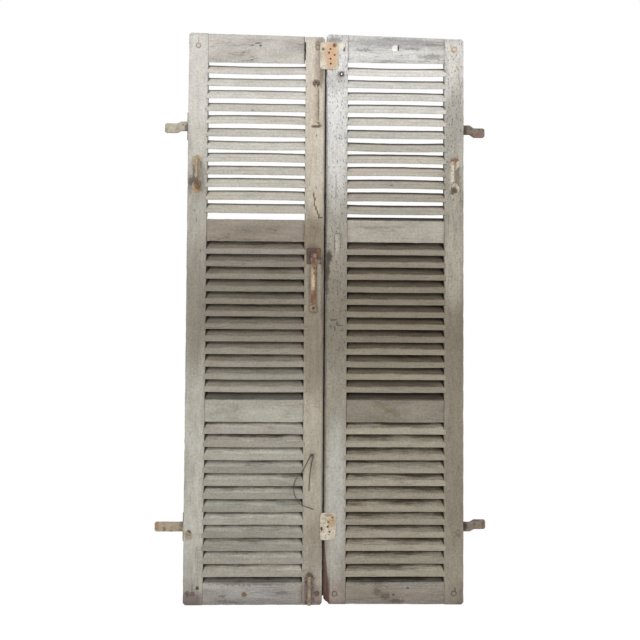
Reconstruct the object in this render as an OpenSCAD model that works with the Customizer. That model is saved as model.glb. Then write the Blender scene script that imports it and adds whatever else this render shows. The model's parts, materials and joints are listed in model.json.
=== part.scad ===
// A pair of weathered louvred shutters with their iron hardware, hung on wall anchors.
// Millimetres. The meeting line rises along x = 0, the room side faces -Y, feet at z = 0.

/* [Leaves] */
// Gap between the two leaves at the meeting line
leaf_gap = 5; // [4:0.5:8]
// Thickness of the stiles and rails
leaf_t = 32; // [30:1:38]
// Width of the louvre openings between the stiles
opening_w = 333; // [260:1:420]
// Width of the hinge-side stiles
outer_stile_w = 66; // [62:1:90]
// Width of the left leaf's meeting stile
left_meeting_w = 67; // [66:1:90]
// Width of the right leaf's meeting stile
right_meeting_w = 74; // [68:1:100]
// Height of the top rails
top_rail_h = 95; // [85:1:130]
// Height of the middle rails
mid_rail_h = 76; // [60:1:110]
// Height of the bottom rails
bottom_rail_h = 74; // [64:1:120]
// How much higher the left leaf's top is at its outer edge
left_top_rise = 8; // [0:1:20]
// How far the right leaf's top stands up at the meeting line
right_top_rise = 10; // [0:1:20]
// How much higher the right top rail's under edge is than the left one's
right_rail_lift = 7; // [0:1:12]
// How far the right leaf's foot is cut up at the meeting line
right_foot_rise = 3; // [0:1:12]
// Size of the worn corners of the leaves
corner_wear = 8; // [2:0.5:9]
// Seat of the cover strip behind the left leaf's meeting edge
strip_seat_w = 22; // [16:1:28]
// Overlap of the cover strip behind the right leaf
strip_lap = 14; // [8:1:20]
// Thickness of the cover strip
strip_t = 10; // [8:1:14]
// Distance of the cover strip from the ends of the leaf
strip_end = 20; // [10:1:40]

/* [Louvres] */
// Whole slats in each panel
slat_count = 12; // [8:1:14]
// Distance from one slat to the next in the lower panels
lower_pitch = 43.4; // [40:0.1:60]
// Distance from one slat to the next in the middle panels
middle_pitch = 42.5; // [40:0.1:60]
// Distance from one slat to the next in the upper panels
upper_pitch = 43.6; // [40:0.1:60]
// Thickness of a slat across its faces
slat_t = 11.5; // [9:0.5:12.5]
// Rise of the slats in the upper panels, which let light through, in degrees
open_tilt = 41; // [34:1:42]
// Rise of the slats in the other panels, which overlap, in degrees
closed_tilt = 46; // [40:1:47]
// Height of the first slat above the bottom rail
lower_first = 18; // [16:0.5:24]
// Height of the first slat above the lower rail
middle_first = 25; // [16:0.5:30]
// Height of the first slat above the upper rail
upper_first = 18.5; // [16:0.5:24]
// Room in front between the highest slat of the lower panels and the rail over it
lower_head = 24; // [20:0.5:30]
// Room in front between the highest slat of the middle panels and the rail over it
middle_head = 26.9; // [20:0.1:30]
// Room in front between the highest slat of the upper panels and the rail over it
upper_head = 22.7; // [20:0.1:30]
// Depth of the slat housings in the stiles
housing_depth = 5; // [4:0.5:10]
// Wear on the sharp edges of the slats
slat_wear = 1.6; // [0.5:0.1:2.5]

/* [Joinery] */
// Thickness of the rail tenons
tenon_t = 11; // [8:1:14]
// Length of the rail tenons
tenon_l = 56; // [50:1:56]
// Distance from a rail's edge to its tenon's edge
tenon_inset = 14; // [8:1:20]
// Wood left between a rail's bevel and its tenon
tenon_cover = 2; // [1:0.5:4]
// Radius of the tenon pegs
peg_r = 7; // [3:0.5:8]
// How far the pegs stand out of the face
peg_proud = 0.8; // [0.2:0.1:2]
// Clearance round glued and housed joints
joint_clear = 0.2; // [0.1:0.05:0.4]
// Open shoulder between the left top rail and its meeting stile
open_shoulder = 2; // [0.5:0.5:4]

/* [Broken foot] */
// Width of the corner lost from the right leaf's foot
break_w = 18; // [10:1:34]
// Height of the corner lost from the right leaf's foot
break_h = 18; // [12:1:34]
// Height of the rotted strip up the right leaf's arris
rot_h = 300; // [120:5:300]
// Width of the rotted strip at the foot
rot_w = 26; // [10:1:40]
// Depth of the rotted strip at the foot
rot_d = 12; // [4:1:18]

/* [Hinges] */
// Height of the lower hinges
lower_hinge_z = 251; // [180:1:400]
// Distance of the upper hinges below the leaf top
upper_hinge_drop = 304; // [200:1:450]
// Radius of the hinge knuckles
knuckle_r = 7; // [6.5:0.5:10]
// Radius of the hinge pins
hinge_pin_r = 4; // [3:0.5:5]
// Height of each leaf knuckle
leaf_knuckle_h = 30; // [20:1:45]
// Height of the anchor irons and of their knuckles
anchor_h = 33; // [26:1:44]
// Thickness of the anchor irons
anchor_t = 7; // [5:0.5:8]
// Thickness of the hinge plates
hinge_plate_t = 3; // [2:0.5:4]
// Width of the hinge plates on the stile
hinge_plate_w = 38; // [30:1:50]
// Distance of the hinge axis outside the leaf's edge
hinge_out = 1.5; // [0.5:0.5:5]
// Running clearance of the hinge pins
pin_clear = 0.08; // [0.04:0.01:0.1]
// Clearance between the ends of the knuckles
knuckle_gap = 0.5; // [0.4:0.1:1]
// Radius of the rivet heads of the lower hinges
rivet_head_r = 9.5; // [7:0.5:11]
// Radius of the rivet shanks
rivet_r = 4; // [3:0.5:5]
// Distance of the rivets from the leaf's outer edge
rivet_in = 17.5; // [14:0.5:22]
// Distance of the rivets below the middle of the lower hinges
rivet_drop = 11; // [0:1:20]

/* [Wall anchors] */
// Reach of the left upper anchor past the hinge axis
left_upper_reach = 84; // [65:1:130]
// Crank of the left upper anchor
left_upper_crank = -7; // [-14:1:14]
// Reach of the left lower anchor past the hinge axis
left_lower_reach = 102; // [65:1:130]
// Crank of the left lower anchor
left_lower_crank = 0; // [-14:1:14]
// Reach of the right upper anchor past the hinge axis
right_upper_reach = 80; // [65:1:130]
// Crank of the right upper anchor
right_upper_crank = -10; // [-14:1:14]
// Reach of the right lower anchor past the hinge axis
right_lower_reach = 82; // [65:1:130]
// Crank of the right lower anchor
right_lower_crank = 8; // [-14:1:14]
// Where the crank of an anchor starts, from the hinge axis
crank_start = 28; // [20:1:34]
// Length of the crank along an anchor
crank_run = 14; // [10:1:20]

/* [Pull handles] */
// Distance of the handles from the leaf's outer edge
handle_edge = 32; // [26:1:36]
// Height of the handles above the upper rail
handle_rise = 153; // [100:1:300]
// Distance between the feet of a handle
handle_span = 86; // [80:1:120]
// Stand-off of the grip from the stile
handle_reach = 31; // [28:1:45]
// Radius of the grip
grip_r = 8; // [6:0.5:9]
// Bend radius of the grip
grip_bend = 17; // [14:1:20]
// Width of a handle's leaf-shaped foot
foot_w = 34; // [28:1:44]
// Length of a handle's leaf-shaped foot
foot_l = 46; // [44:1:60]
// Lean of the left handle's grip towards the meeting line
left_handle_lean = 12; // [0:1:24]
// Lean of the right handle's grip towards the meeting line
right_handle_lean = 24; // [0:1:28]
// Thickness of a handle's foot
foot_t = 2.5; // [1.5:0.5:4]

/* [Stop plates] */
// Thickness of the stop plates
stop_t = 3; // [2:0.5:4]
// Width of the stop plates on the right leaf
stop_seat_w = 40; // [36:1:46]
// Overlap of the upper stop plate past the right leaf's edge
top_stop_lap = 23; // [8:1:23]
// Overlap of the lower stop plate past the right leaf's edge
bottom_stop_lap = 13; // [8:1:22]
// Height of the upper stop plate
top_stop_h = 95; // [92:1:120]
// Height of the lower stop plate
bottom_stop_h = 91; // [88:1:120]
// Distance of the upper stop plate below the leaf top
top_stop_drop = 18; // [10:1:30]
// Height of the lower stop plate's foot
bottom_stop_z = 216; // [180:1:320]
// Air between a lapping plate or strip and the other leaf
lap_air = 0.4; // [0.3:0.1:1]
// Corner radius of the stop plates
stop_corner = 9; // [3:1:12]

/* [Cabin hook] */
// Distance of the hook from the left leaf's meeting edge
hook_in = 30; // [28:1:34]
// Distance of the hook's pivot below the leaf top
hook_drop = 160; // [130:1:240]
// Length of the hook's shank
hook_shank = 134; // [90:1:180]
// Radius of the hook's iron
hook_r = 3.2; // [2.5:0.1:4]
// Bend radius of the hook
hook_bend = 8; // [7:0.5:9]
// Length of the hook's tip past the shank
hook_tip = 16; // [10:1:24]
// Radius of the hook's pivot screw
hook_screw_r = 3; // [2.5:0.5:4]

/* [Swing latch] */
// Distance of the latch pivot from the left leaf's meeting edge
latch_in = 35; // [32:1:38]
// Distance of the latch pivot below the upper rail
latch_drop = 49; // [36:1:60]
// Length of the latch bar from its pivot to its ring
latch_l = 177; // [140:1:220]
// Width of the latch bar at its pivot
latch_w = 23; // [18:1:26]
// Width of the latch bar at its ring
latch_tip_w = 16; // [10:1:18]
// Thickness of the latch bar
latch_t = 5; // [3:0.5:7]
// Outer radius of the latch ring
ring_r = 13.5; // [11:0.5:16]
// Radius of the hole in the latch ring
ring_hole_r = 4.5; // [3:0.5:6]
// Width of the latch plate
latch_plate_w = 48; // [44:1:52]
// Height of the latch plate
latch_plate_h = 54; // [44:1:60]
// Thickness of the latch plate
latch_plate_t = 3; // [2:0.5:4]
// Radius of the latch pivot
latch_pin_r = 4; // [3:0.5:5]

/* [Foot bolt] */
// Distance of the bolt from the left leaf's meeting edge
bolt_in = 43; // [36:1:46]
// Radius of the bolt rod
bolt_r = 6; // [4:0.5:6]
// Travel of the bolt rod
bolt_travel = 24; // [15:1:30]
// Width of the bolt plate
bolt_plate_w = 32; // [28:1:40]
// Height of the bolt plate
bolt_plate_h = 86; // [76:1:110]
// Thickness of the bolt plate
bolt_plate_t = 2.5; // [1.5:0.5:4]
// Height of the bolt plate's foot
bolt_plate_z = 5; // [4:1:12]
// Height of each bolt guide
guide_h = 12; // [8:1:16]
// Wall of the bolt guides
guide_wall = 3; // [2:0.5:4]

/* [Nails, screws and wire] */
// Radius of the nail shanks
nail_r = 1.6; // [1:0.1:2]
// Radius of the nail heads
nail_head_r = 3.6; // [2.6:0.1:4.5]
// Depth of nails and screws in the wood
nail_depth = 9; // [6:1:10]
// Radius of the hinge screw shanks
screw_r = 2.2; // [1.6:0.1:2.5]
// Radius of the hinge screw heads
screw_head_r = 4.4; // [3.6:0.1:5]
// Radius of the stud at the right leaf's top
stud_r = 7; // [5:0.5:9]
// Radius of the wire
wire_r = 1.2; // [0.8:0.1:1.6]
// Distance of the wire's nail from the left leaf's meeting edge
wire_in = 36; // [30:1:44]
// Height of the wire's nail
wire_z = 500; // [420:5:560]

/* [Hidden] */
$fn = 48;

// Colours of the finishes
paint = "#b3b0a2";
slat_paint = "#aaa798";
peg_wood = "#9a9284";
rust = "#6b4332";
dark_iron = "#57504a";
cream_iron = "#cfc2a4";
peach_rust = "#c9a07c";

// How far a cutting tool runs past the face that it cuts
cut = 1;
// Clearance round nails and screws in their plates
hole_clear = 0.15;

// Slats of the lower, middle and upper panels
tilts = [closed_tilt, closed_tilt, open_tilt];
pitches = [lower_pitch, middle_pitch, upper_pitch];
firsts = [lower_first, middle_first, upper_first];
heads = [lower_head, middle_head, upper_head];

// A slat's section, front to back: its rise, and the height of its edge
function slat_rise(i) = leaf_t * tan(tilts[i]);
function slat_edge(i) = slat_t / cos(tilts[i]);
function panel_h(i) = firsts[i] + (slat_count - 1) * pitches[i] + slat_edge(i) + heads[i];

// Heights of the panels and rails
lower_z = bottom_rail_h;
lower_rail_z = lower_z + panel_h(0);
middle_z = lower_rail_z + mid_rail_h;
upper_rail_z = middle_z + panel_h(1);
upper_z = upper_rail_z + mid_rail_h;
top_rail_z = upper_z + panel_h(2);
leaf_h = top_rail_z + top_rail_h;
panel_floors = [lower_z, middle_z, upper_z];

// Widths of the leaves, counted from the meeting edge outwards
left_w = left_meeting_w + opening_w + outer_stile_w;
right_w = right_meeting_w + opening_w + outer_stile_w;

// The hinge axis stands behind the back face
upper_hinge_z = leaf_h - upper_hinge_drop;
hinge_zs = [lower_hinge_z, upper_hinge_z];
hinge_y = leaf_t + knuckle_r + 1;
hinge_half_h = anchor_h / 2 + knuckle_gap + leaf_knuckle_h;
hinge_screw_in = 10;
hinge_screw_spots = [
    for (du = [hinge_screw_in, hinge_plate_w - hinge_screw_in], s = [-1, 1])
        [du, s * (hinge_half_h - hinge_screw_in)]
];

rivet_z = lower_hinge_z - rivet_drop;
rivet_head_h = rivet_head_r * 0.45;

// Handle heights and screws
handle_z = upper_z + handle_rise;
handle_screw_off = foot_l / 2 - 9;
handle_screw_zs = [
    for (s = [-1, 1], o = [-1, 1]) s * handle_span / 2 + o * handle_screw_off
];

// Nails of the stop plates, across from the leaf's edge and up from the plate's foot
top_stop_z = leaf_h - top_stop_drop - top_stop_h;
top_stop_spots = [[26, 84], [13, 71], [27, 51], [8, 58], [13, 37], [14, 20]];
bottom_stop_spots = [[29, 76], [15, 61], [13, 45], [19, 29]];

// Hook, latch and bolt places
hook_z = leaf_h - hook_drop;
hook_air = 1.6;
hook_y = -(hook_r + hook_air);
hook_eye_r = 2.5 * hook_r;
hook_eye_t = 2 * hook_r + 1;
hook_head_air = 0.4;
latch_z = upper_rail_z - latch_drop;
latch_plate_below = latch_plate_h * 0.48;
latch_plate_foot = latch_z - latch_plate_below;
latch_spot_in = 7;
latch_spots = [
    for (a = [latch_spot_in, latch_plate_w - latch_spot_in],
         b = [latch_spot_in, latch_plate_h - latch_spot_in])
        [latch_in - latch_plate_w / 2 + a, latch_plate_foot + b]
];
latch_air = 0.8;
latch_nail_h = 0.3;
knob_r = bolt_r + 1.6;
knob_air = 0.8;
bolt_y = -(bolt_plate_t + knob_r + knob_air);
bolt_clear = 0.1;
bolt_spot_in = 4.5;
low_guide_z = bolt_plate_z + 2 * bolt_spot_in;
high_guide_drop = 20;
high_guide_z = bolt_plate_z + bolt_plate_h - guide_h - high_guide_drop;
knob_z = high_guide_z + guide_h + bolt_travel + knob_r + knob_air;
bolt_spots = [
    for (s = [-1, 1], z = [bolt_spot_in, bolt_plate_h - bolt_spot_in])
        [bolt_in + s * (bolt_plate_w / 2 - bolt_spot_in), bolt_plate_z + z]
];

// Stud under the top of the right leaf's meeting stile, from the edge and below the top
stud_in = 52;
stud_drop = 129;
stud_spots = [[stud_in, leaf_h - stud_drop]];
stud_shank_r = 3;

// The wire's route from its nail, chosen by hand: towards the outer edge, out of the face, up
wire_route = [
    [10, -3, -120], [9, -2.6, -90], [7, -2.4, -60], [2, -2.6, -28], [-2.8, -3, -8],
    [-3.6, -3.4, 0], [-1.7, -3.6, 3.6], [2, -3.6, 3.6], [5, -3.4, 0], [10, -3, -10],
    [20, -2.6, -30], [31, -2.6, -53], [43, -3, -66], [54, -3, -80], [61, -2.8, -100],
    [61, -2.6, -122], [54, -2.6, -143], [44, -2.6, -158], [30, -2.6, -168], [14, -2.6, -174],
    [-6, -2.6, -181]
];

// Placing: each leaf is drawn from its meeting edge outwards
module on_right() {
    translate([leaf_gap / 2, 0, 0]) children();
}

module on_left() {
    mirror([1, 0, 0]) on_right() children();
}

// Turns a shape drawn up its own z axis to run into the face, along +Y
module into_face() {
    rotate([-90, 0, 0]) children();
}

// Extrudes an outline drawn across and up over the depth y0 to y1
module face_plate(y0, y1) {
    translate([0, y1, 0]) rotate([90, 0, 0]) linear_extrude(y1 - y0) children();
}

// A rectangle with round corners
module round_rect(w, h, r) {
    translate([r, 0]) square([w - 2 * r, h]);
    translate([0, r]) square([w, h - 2 * r]);
    for (x = [r, w - r], y = [r, h - r]) translate([x, y]) circle(r);
}

// Outline of the left leaf: its top out of square, with worn corners
function left_outline() = [
    [corner_wear, 0], [left_w - corner_wear, 0], [left_w, corner_wear],
    [left_w, leaf_h + left_top_rise - corner_wear], [left_w - corner_wear, leaf_h + left_top_rise],
    [corner_wear, leaf_h], [0, leaf_h - corner_wear], [0, corner_wear]
];

// Steps of the break at the foot, as shares of its width and height
break_mid = [0.4, 0.62];
break_low = [0.75, 0.48];

// Outline of the right leaf: ends out of square, and the inner foot corner lost
function right_foot(u) = right_foot_rise * (1 - u / right_w);
function right_outline() = [
    [break_w, right_foot(break_w)], [right_w - corner_wear, right_foot(right_w)],
    [right_w, corner_wear], [right_w, leaf_h - corner_wear],
    [right_w - corner_wear, leaf_h], [corner_wear, leaf_h + right_top_rise],
    [0, leaf_h + right_top_rise - corner_wear],
    [0, break_h], [break_w * break_mid[0], break_h * break_mid[1]],
    [break_w * break_low[0], break_h * break_low[1]]
];

module within_left() {
    intersection() {
        children();
        face_plate(-cut, leaf_t + cut) polygon(left_outline());
    }
}

module within_right() {
    intersection() {
        children();
        face_plate(-cut, leaf_t + cut) polygon(right_outline());
    }
}

// Louvre slats: a board cut flush with both faces, its sharp edges worn
function slat_profile(i) = let (
    up = slat_wear * tan(tilts[i]), off = slat_wear * 1.3, rise = slat_rise(i), edge = slat_edge(i)
) [
    [0, off], [slat_wear, up], [leaf_t, rise],
    [leaf_t, rise + edge - off], [leaf_t - slat_wear, rise + edge - up], [0, edge]
];

function housing_profile(i) = let (
    step = cut * tan(tilts[i]), rise = slat_rise(i), edge = slat_edge(i)
) [
    [-cut, -step - joint_clear], [leaf_t + cut, rise + step - joint_clear],
    [leaf_t + cut, rise + edge + step + joint_clear], [-cut, edge - step + joint_clear]
];

function slat_z(i, k) = panel_floors[i] + firsts[i] + k * pitches[i];

module along_x(length) {
    rotate([90, 0, 90]) linear_extrude(length) children();
}

module slat(i, meeting_w) {
    reach = housing_depth - joint_clear;
    translate([meeting_w - reach, 0, 0])
        along_x(opening_w + 2 * reach) polygon(slat_profile(i));
}

// The lowest slat is clipped by the rail that it lies on
module above_rail(z) {
    intersection() {
        children();
        translate([-cut, -2 * cut, z]) cube([left_w + right_w, leaf_t + 4 * cut, 2 * leaf_t]);
    }
}

module slat_panel(i, meeting_w, closing) {
    for (k = [0 : slat_count - 1]) translate([0, 0, slat_z(i, k)]) slat(i, meeting_w);
    if (closing)
        above_rail(panel_floors[i] + joint_clear)
            translate([0, 0, slat_z(i, -1)]) slat(i, meeting_w);
}

// Slat housings, open on both faces, cut from u along the inner edge of a stile
module housings(u) {
    for (i = [0 : 2]) {
        for (k = [0 : slat_count - 1])
            translate([u, 0, slat_z(i, k)])
                along_x(housing_depth + cut) polygon(housing_profile(i));
        above_rail(panel_floors[i]) translate([u, 0, slat_z(i, -1)])
            along_x(housing_depth + cut) polygon(housing_profile(i));
    }
}

// Rails: foot height and height of each, from the bottom up
rail_feet = [0, lower_rail_z, upper_rail_z, top_rail_z];
rail_hs = [bottom_rail_h, mid_rail_h, mid_rail_h, top_rail_h];

// Pegs through the tenons of the bottom and top rails: places up the leaf, and across each
// meeting stile from its edge
peg_drop = 36;
peg_zs = [bottom_rail_h / 2, leaf_h - peg_drop];
left_peg_us = [18, 26];
right_peg_us = [37, 52];
outer_peg_in = outer_stile_w / 2;

// The under edge of a rail is planed to the slope of the slats below it
function bevel_rise(i, depth) = i == 0 ? 0 : depth * tan(tilts[i - 1]);

// A tenon starts above that bevel; lift is how much higher the rail's under edge is set
function tenon_foot(i, lift) = rail_feet[i] + (i == 3 ? lift : 0)
    + (i == 0 ? tenon_inset : bevel_rise(i, (leaf_t + tenon_t) / 2) + tenon_cover);
function tenon_head(i) = rail_feet[i] + rail_hs[i] - tenon_inset;

module mortises(u, lift) {
    for (i = [0 : 3])
        translate([u, (leaf_t - tenon_t) / 2 - joint_clear, tenon_foot(i, lift) - joint_clear])
            cube([tenon_l + 2 * joint_clear, tenon_t + 2 * joint_clear,
                  tenon_head(i) - tenon_foot(i, lift) + 2 * joint_clear]);
}

module peg_holes(us) {
    for (i = [0, 1]) translate([us[i], -cut, peg_zs[i]]) into_face()
        cylinder(r = peg_r + joint_clear / 2, h = leaf_t + 2 * cut);
}

module nail_bores(spots, r, depth) {
    for (p = spots) translate([p[0], -cut, p[1]]) into_face() cylinder(r = r, h = depth + cut);
}

// Places of the screws that enter the outer stile, from the meeting edge
function handle_spots(w) = [for (z = handle_screw_zs) [w - handle_edge, handle_z + z]];
function hinge_spots(w) = [
    for (z = hinge_zs, p = hinge_screw_spots) [w - hinge_plate_w + p[0], z + p[1]]
];

module outer_stile(meeting_w, length, lift) {
    u = meeting_w + opening_w;
    w = u + outer_stile_w;
    difference() {
        translate([u, 0, 0]) cube([outer_stile_w, leaf_t, length]);
        housings(u - cut);
        mortises(u - joint_clear, lift);
        peg_holes([u + outer_peg_in, u + outer_peg_in]);
        nail_bores(handle_spots(w), nail_r + hole_clear, nail_depth);
        nail_bores([[w - rivet_in, rivet_z]], rivet_r + hole_clear, leaf_t + cut);
        translate([0, leaf_t, 0]) mirror([0, 1, 0])
            nail_bores(hinge_spots(w), screw_r + hole_clear, nail_depth);
    }
}

module meeting_stile(meeting_w, length, peg_us, lift) {
    difference() {
        cube([meeting_w, leaf_t, length]);
        housings(meeting_w - housing_depth);
        mortises(meeting_w - tenon_l - joint_clear, lift);
        peg_holes(peg_us);
    }
}

// A rail between its shoulders, with a tenon into each stile
module rail(i, meeting_w, extra, shoulder, peg_us, lift) {
    outer_u = meeting_w + opening_w + outer_peg_in;
    h = rail_hs[i] + extra - lift;
    difference() {
        union() {
            translate([meeting_w + shoulder, 0, rail_feet[i] + lift])
                along_x(opening_w - shoulder - joint_clear)
                    polygon([[0, 0], [leaf_t, bevel_rise(i, leaf_t)], [leaf_t, h], [0, h]]);
            translate([meeting_w - tenon_l, (leaf_t - tenon_t) / 2, tenon_foot(i, lift)])
                cube([opening_w + 2 * tenon_l, tenon_t, tenon_head(i) - tenon_foot(i, lift)]);
        }
        if (len(peg_us) > 0) {
            peg_holes(peg_us);
            peg_holes([outer_u, outer_u]);
        }
    }
}

module pegs(meeting_w, peg_us) {
    for (i = [0, 1], u = [peg_us[i], meeting_w + opening_w + outer_peg_in])
        translate([u, -peg_proud, peg_zs[i]]) into_face() cylinder(r = peg_r, h = leaf_t + peg_proud);
}

// Left leaf
module left_outer_stile() {
    color(paint) on_left() within_left() outer_stile(left_meeting_w, leaf_h + left_top_rise, 0);
}

module left_meeting_stile() {
    color(paint) on_left() within_left() difference() {
        meeting_stile(left_meeting_w, leaf_h, left_peg_us, 0);
        nail_bores([[hook_in, hook_z]], hook_screw_r + hole_clear, nail_depth);
        nail_bores([[latch_in, latch_z]], latch_pin_r + hole_clear, nail_depth);
        nail_bores(latch_spots, nail_r + hole_clear, nail_depth);
        nail_bores(bolt_spots, nail_r + hole_clear, nail_depth);
        nail_bores([[wire_in, wire_z]], nail_r + hole_clear, nail_depth);
    }
}

module left_top_rail() {
    color(paint) on_left() within_left()
        rail(3, left_meeting_w, left_top_rise, open_shoulder, left_peg_us, 0);
}

module left_upper_rail() {
    color(paint) on_left() rail(2, left_meeting_w, 0, joint_clear, [], 0);
}

module left_lower_rail() {
    color(paint) on_left() rail(1, left_meeting_w, 0, joint_clear, [], 0);
}

module left_bottom_rail() {
    color(paint) on_left() within_left() rail(0, left_meeting_w, 0, joint_clear, left_peg_us, 0);
}

// The upper panel's lowest slat is lost, so its housings stand empty
module left_upper_slats() {
    color(slat_paint) on_left() slat_panel(2, left_meeting_w, false);
}

module left_middle_slats() {
    color(slat_paint) on_left() slat_panel(1, left_meeting_w, true);
}

module left_lower_slats() {
    color(slat_paint) on_left() slat_panel(0, left_meeting_w, true);
}

module left_pegs() {
    color(peg_wood) on_left() pegs(left_meeting_w, left_peg_us);
}

// Strip planted on the back of the left leaf, which covers the joint behind the right leaf
function strip_section() = let (
    lap = leaf_gap + strip_lap, back = leaf_t + strip_t, chamfer = strip_t / 3
) [
    [strip_seat_w, leaf_t], [strip_seat_w, back - chamfer], [strip_seat_w - chamfer, back],
    [chamfer - lap, back], [-lap, back - chamfer], [-lap, leaf_t + lap_air],
    [-leaf_gap / 2, leaf_t + lap_air], [-leaf_gap / 2, leaf_t]
];

module cover_strip() {
    color(paint) on_left() translate([0, 0, strip_end])
        linear_extrude(leaf_h - 2 * strip_end) polygon(strip_section());
}

// Right leaf
module right_outer_stile() {
    color(paint) on_right() within_right() outer_stile(right_meeting_w, leaf_h, right_rail_lift);
}

// The rotted strip is a wedge split off along the front arris above the foot
module rot_wedge() {
    lead = 2 * cut;
    polyhedron(
        points = [[-lead, -lead, -lead], [rot_w, -lead, -lead],
                  [-lead, rot_d, -lead], [-lead, -lead, rot_h]],
        faces = [[0, 1, 2], [0, 3, 1], [1, 3, 2], [0, 2, 3]]
    );
}

module right_meeting_stile() {
    color(paint) on_right() within_right() difference() {
        meeting_stile(right_meeting_w, leaf_h + right_top_rise, right_peg_us, right_rail_lift);
        rot_wedge();
        translate([0, 0, top_stop_z])
            nail_bores(top_stop_spots, nail_r + hole_clear, nail_depth);
        translate([0, 0, bottom_stop_z])
            nail_bores(bottom_stop_spots, nail_r + hole_clear, nail_depth);
        nail_bores(stud_spots, stud_shank_r + hole_clear, nail_depth);
    }
}

module right_top_rail() {
    color(paint) on_right() within_right()
        rail(3, right_meeting_w, right_top_rise, joint_clear, right_peg_us, right_rail_lift);
}

module right_upper_rail() {
    color(paint) on_right() rail(2, right_meeting_w, 0, joint_clear, [], 0);
}

module right_lower_rail() {
    color(paint) on_right() rail(1, right_meeting_w, 0, joint_clear, [], 0);
}

module right_bottom_rail() {
    color(paint) on_right() within_right() rail(0, right_meeting_w, 0, joint_clear, right_peg_us, 0);
}

module right_upper_slats() {
    color(slat_paint) on_right() slat_panel(2, right_meeting_w, true);
}

module right_middle_slats() {
    color(slat_paint) on_right() slat_panel(1, right_meeting_w, true);
}

module right_lower_slats() {
    color(slat_paint) on_right() slat_panel(0, right_meeting_w, true);
}

module right_pegs() {
    color(peg_wood) on_right() pegs(right_meeting_w, right_peg_us);
}

// Wall anchor: a forged iron with a knuckle on the hinge axis and a cranked tongue
function tongue_outline(reach, crank) = let (h = anchor_h / 2, c = anchor_t * 0.7) [
    [0, -h], [crank_start, -h], [crank_start + crank_run, crank - h], [reach - c, crank - h],
    [reach, crank - h + c], [reach, crank + h - c], [reach - c, crank + h],
    [crank_start + crank_run, crank + h], [crank_start, h], [0, h]
];

module anchor(w, z, reach, crank) {
    translate([w + hinge_out, hinge_y, z]) difference() {
        union() {
            translate([0, 0, -anchor_h / 2]) cylinder(r = knuckle_r, h = anchor_h);
            face_plate(-anchor_t / 2, anchor_t / 2) polygon(tongue_outline(reach, crank));
        }
        translate([0, 0, -anchor_h / 2 - cut])
            cylinder(r = hinge_pin_r + pin_clear, h = anchor_h + 2 * cut);
    }
}

module left_upper_anchor() {
    color(dark_iron) on_left() anchor(left_w, upper_hinge_z, left_upper_reach, left_upper_crank);
}

module left_lower_anchor() {
    color(dark_iron) on_left() anchor(left_w, lower_hinge_z, left_lower_reach, left_lower_crank);
}

module right_upper_anchor() {
    color(rust) on_right() anchor(right_w, upper_hinge_z, right_upper_reach, right_upper_crank);
}

module right_lower_anchor() {
    color(dark_iron) on_right() anchor(right_w, lower_hinge_z, right_lower_reach, right_lower_crank);
}

// Hinge: a plate on the back of the stile with two knuckles, one over and one under the anchor
module hinge(w, z, riveted) {
    bay = anchor_h / 2 + knuckle_gap;
    axis_u = w + hinge_out;
    translate([0, 0, z]) difference() {
        union() {
            translate([w - hinge_plate_w, leaf_t, -hinge_half_h])
                cube([hinge_plate_w + hinge_out, hinge_plate_t, 2 * hinge_half_h]);
            for (foot = [-hinge_half_h, bay])
                translate([axis_u, hinge_y, foot]) cylinder(r = knuckle_r, h = leaf_knuckle_h);
        }
        translate([axis_u - knuckle_r - cut, leaf_t - cut, -bay])
            cube([2 * knuckle_r, hinge_plate_t + 2 * cut, 2 * bay]);
        translate([axis_u, hinge_y, -hinge_half_h - cut])
            cylinder(r = hinge_pin_r + pin_clear / 2, h = 2 * hinge_half_h + 2 * cut);
        for (p = hinge_screw_spots)
            translate([w - hinge_plate_w + p[0], leaf_t, p[1]]) hinge_screw(hole_clear);
        if (riveted)
            translate([w - rivet_in, leaf_t - cut, -rivet_drop]) into_face()
                cylinder(r = rivet_r + hole_clear, h = hinge_plate_t + 2 * cut);
    }
}

// Rivet with a domed head on the room side, finished flush with the hinge plate behind
module hinge_rivet(w) {
    end = leaf_t + hinge_plate_t;
    translate([w - rivet_in, 0, rivet_z]) into_face() rotate_extrude() polygon([
        [0, -rivet_head_h], [rivet_head_r * 0.6, -rivet_head_h * 0.8],
        [rivet_head_r, -rivet_head_h * 0.2], [rivet_head_r, 0], [rivet_r, 0], [rivet_r, end], [0, end]
    ]);
}

// Countersunk screw through the hinge plate, its point into the stile along -Y
module hinge_screw(grow) {
    rotate([90, 0, 0]) {
        translate([0, 0, -hinge_plate_t - grow / 2])
            cylinder(r1 = screw_head_r + grow, r2 = screw_r + grow, h = hinge_plate_t + grow / 2);
        translate([0, 0, -cut]) cylinder(r = screw_r + grow, h = nail_depth - 2 + cut);
    }
}

module hinge_screws(w) {
    for (p = hinge_spots(w)) translate([p[0], leaf_t, p[1]]) hinge_screw(0);
}

// Hinge pin with a peened head at each end
module hinge_pin() {
    head_h = 2;
    translate([0, 0, -hinge_half_h]) cylinder(r = hinge_pin_r, h = 2 * hinge_half_h);
    for (s = [-1, 1])
        translate([0, 0, s * (hinge_half_h + head_h / 2)])
            cylinder(r = knuckle_r - 1.5, h = head_h, center = true);
}

module hinge_pins(w) {
    for (z = hinge_zs) translate([w + hinge_out, hinge_y, z]) hinge_pin();
}

module left_upper_hinge() {
    color(dark_iron) on_left() hinge(left_w, upper_hinge_z, false);
}

module left_lower_hinge() {
    color(dark_iron) on_left() hinge(left_w, lower_hinge_z, true);
}

module right_upper_hinge() {
    color(dark_iron) on_right() hinge(right_w, upper_hinge_z, false);
}

module right_lower_hinge() {
    color(dark_iron) on_right() hinge(right_w, lower_hinge_z, true);
}

module left_hinge_pins() {
    color(dark_iron) on_left() hinge_pins(left_w);
}

module right_hinge_pins() {
    color(dark_iron) on_right() hinge_pins(right_w);
}

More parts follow.
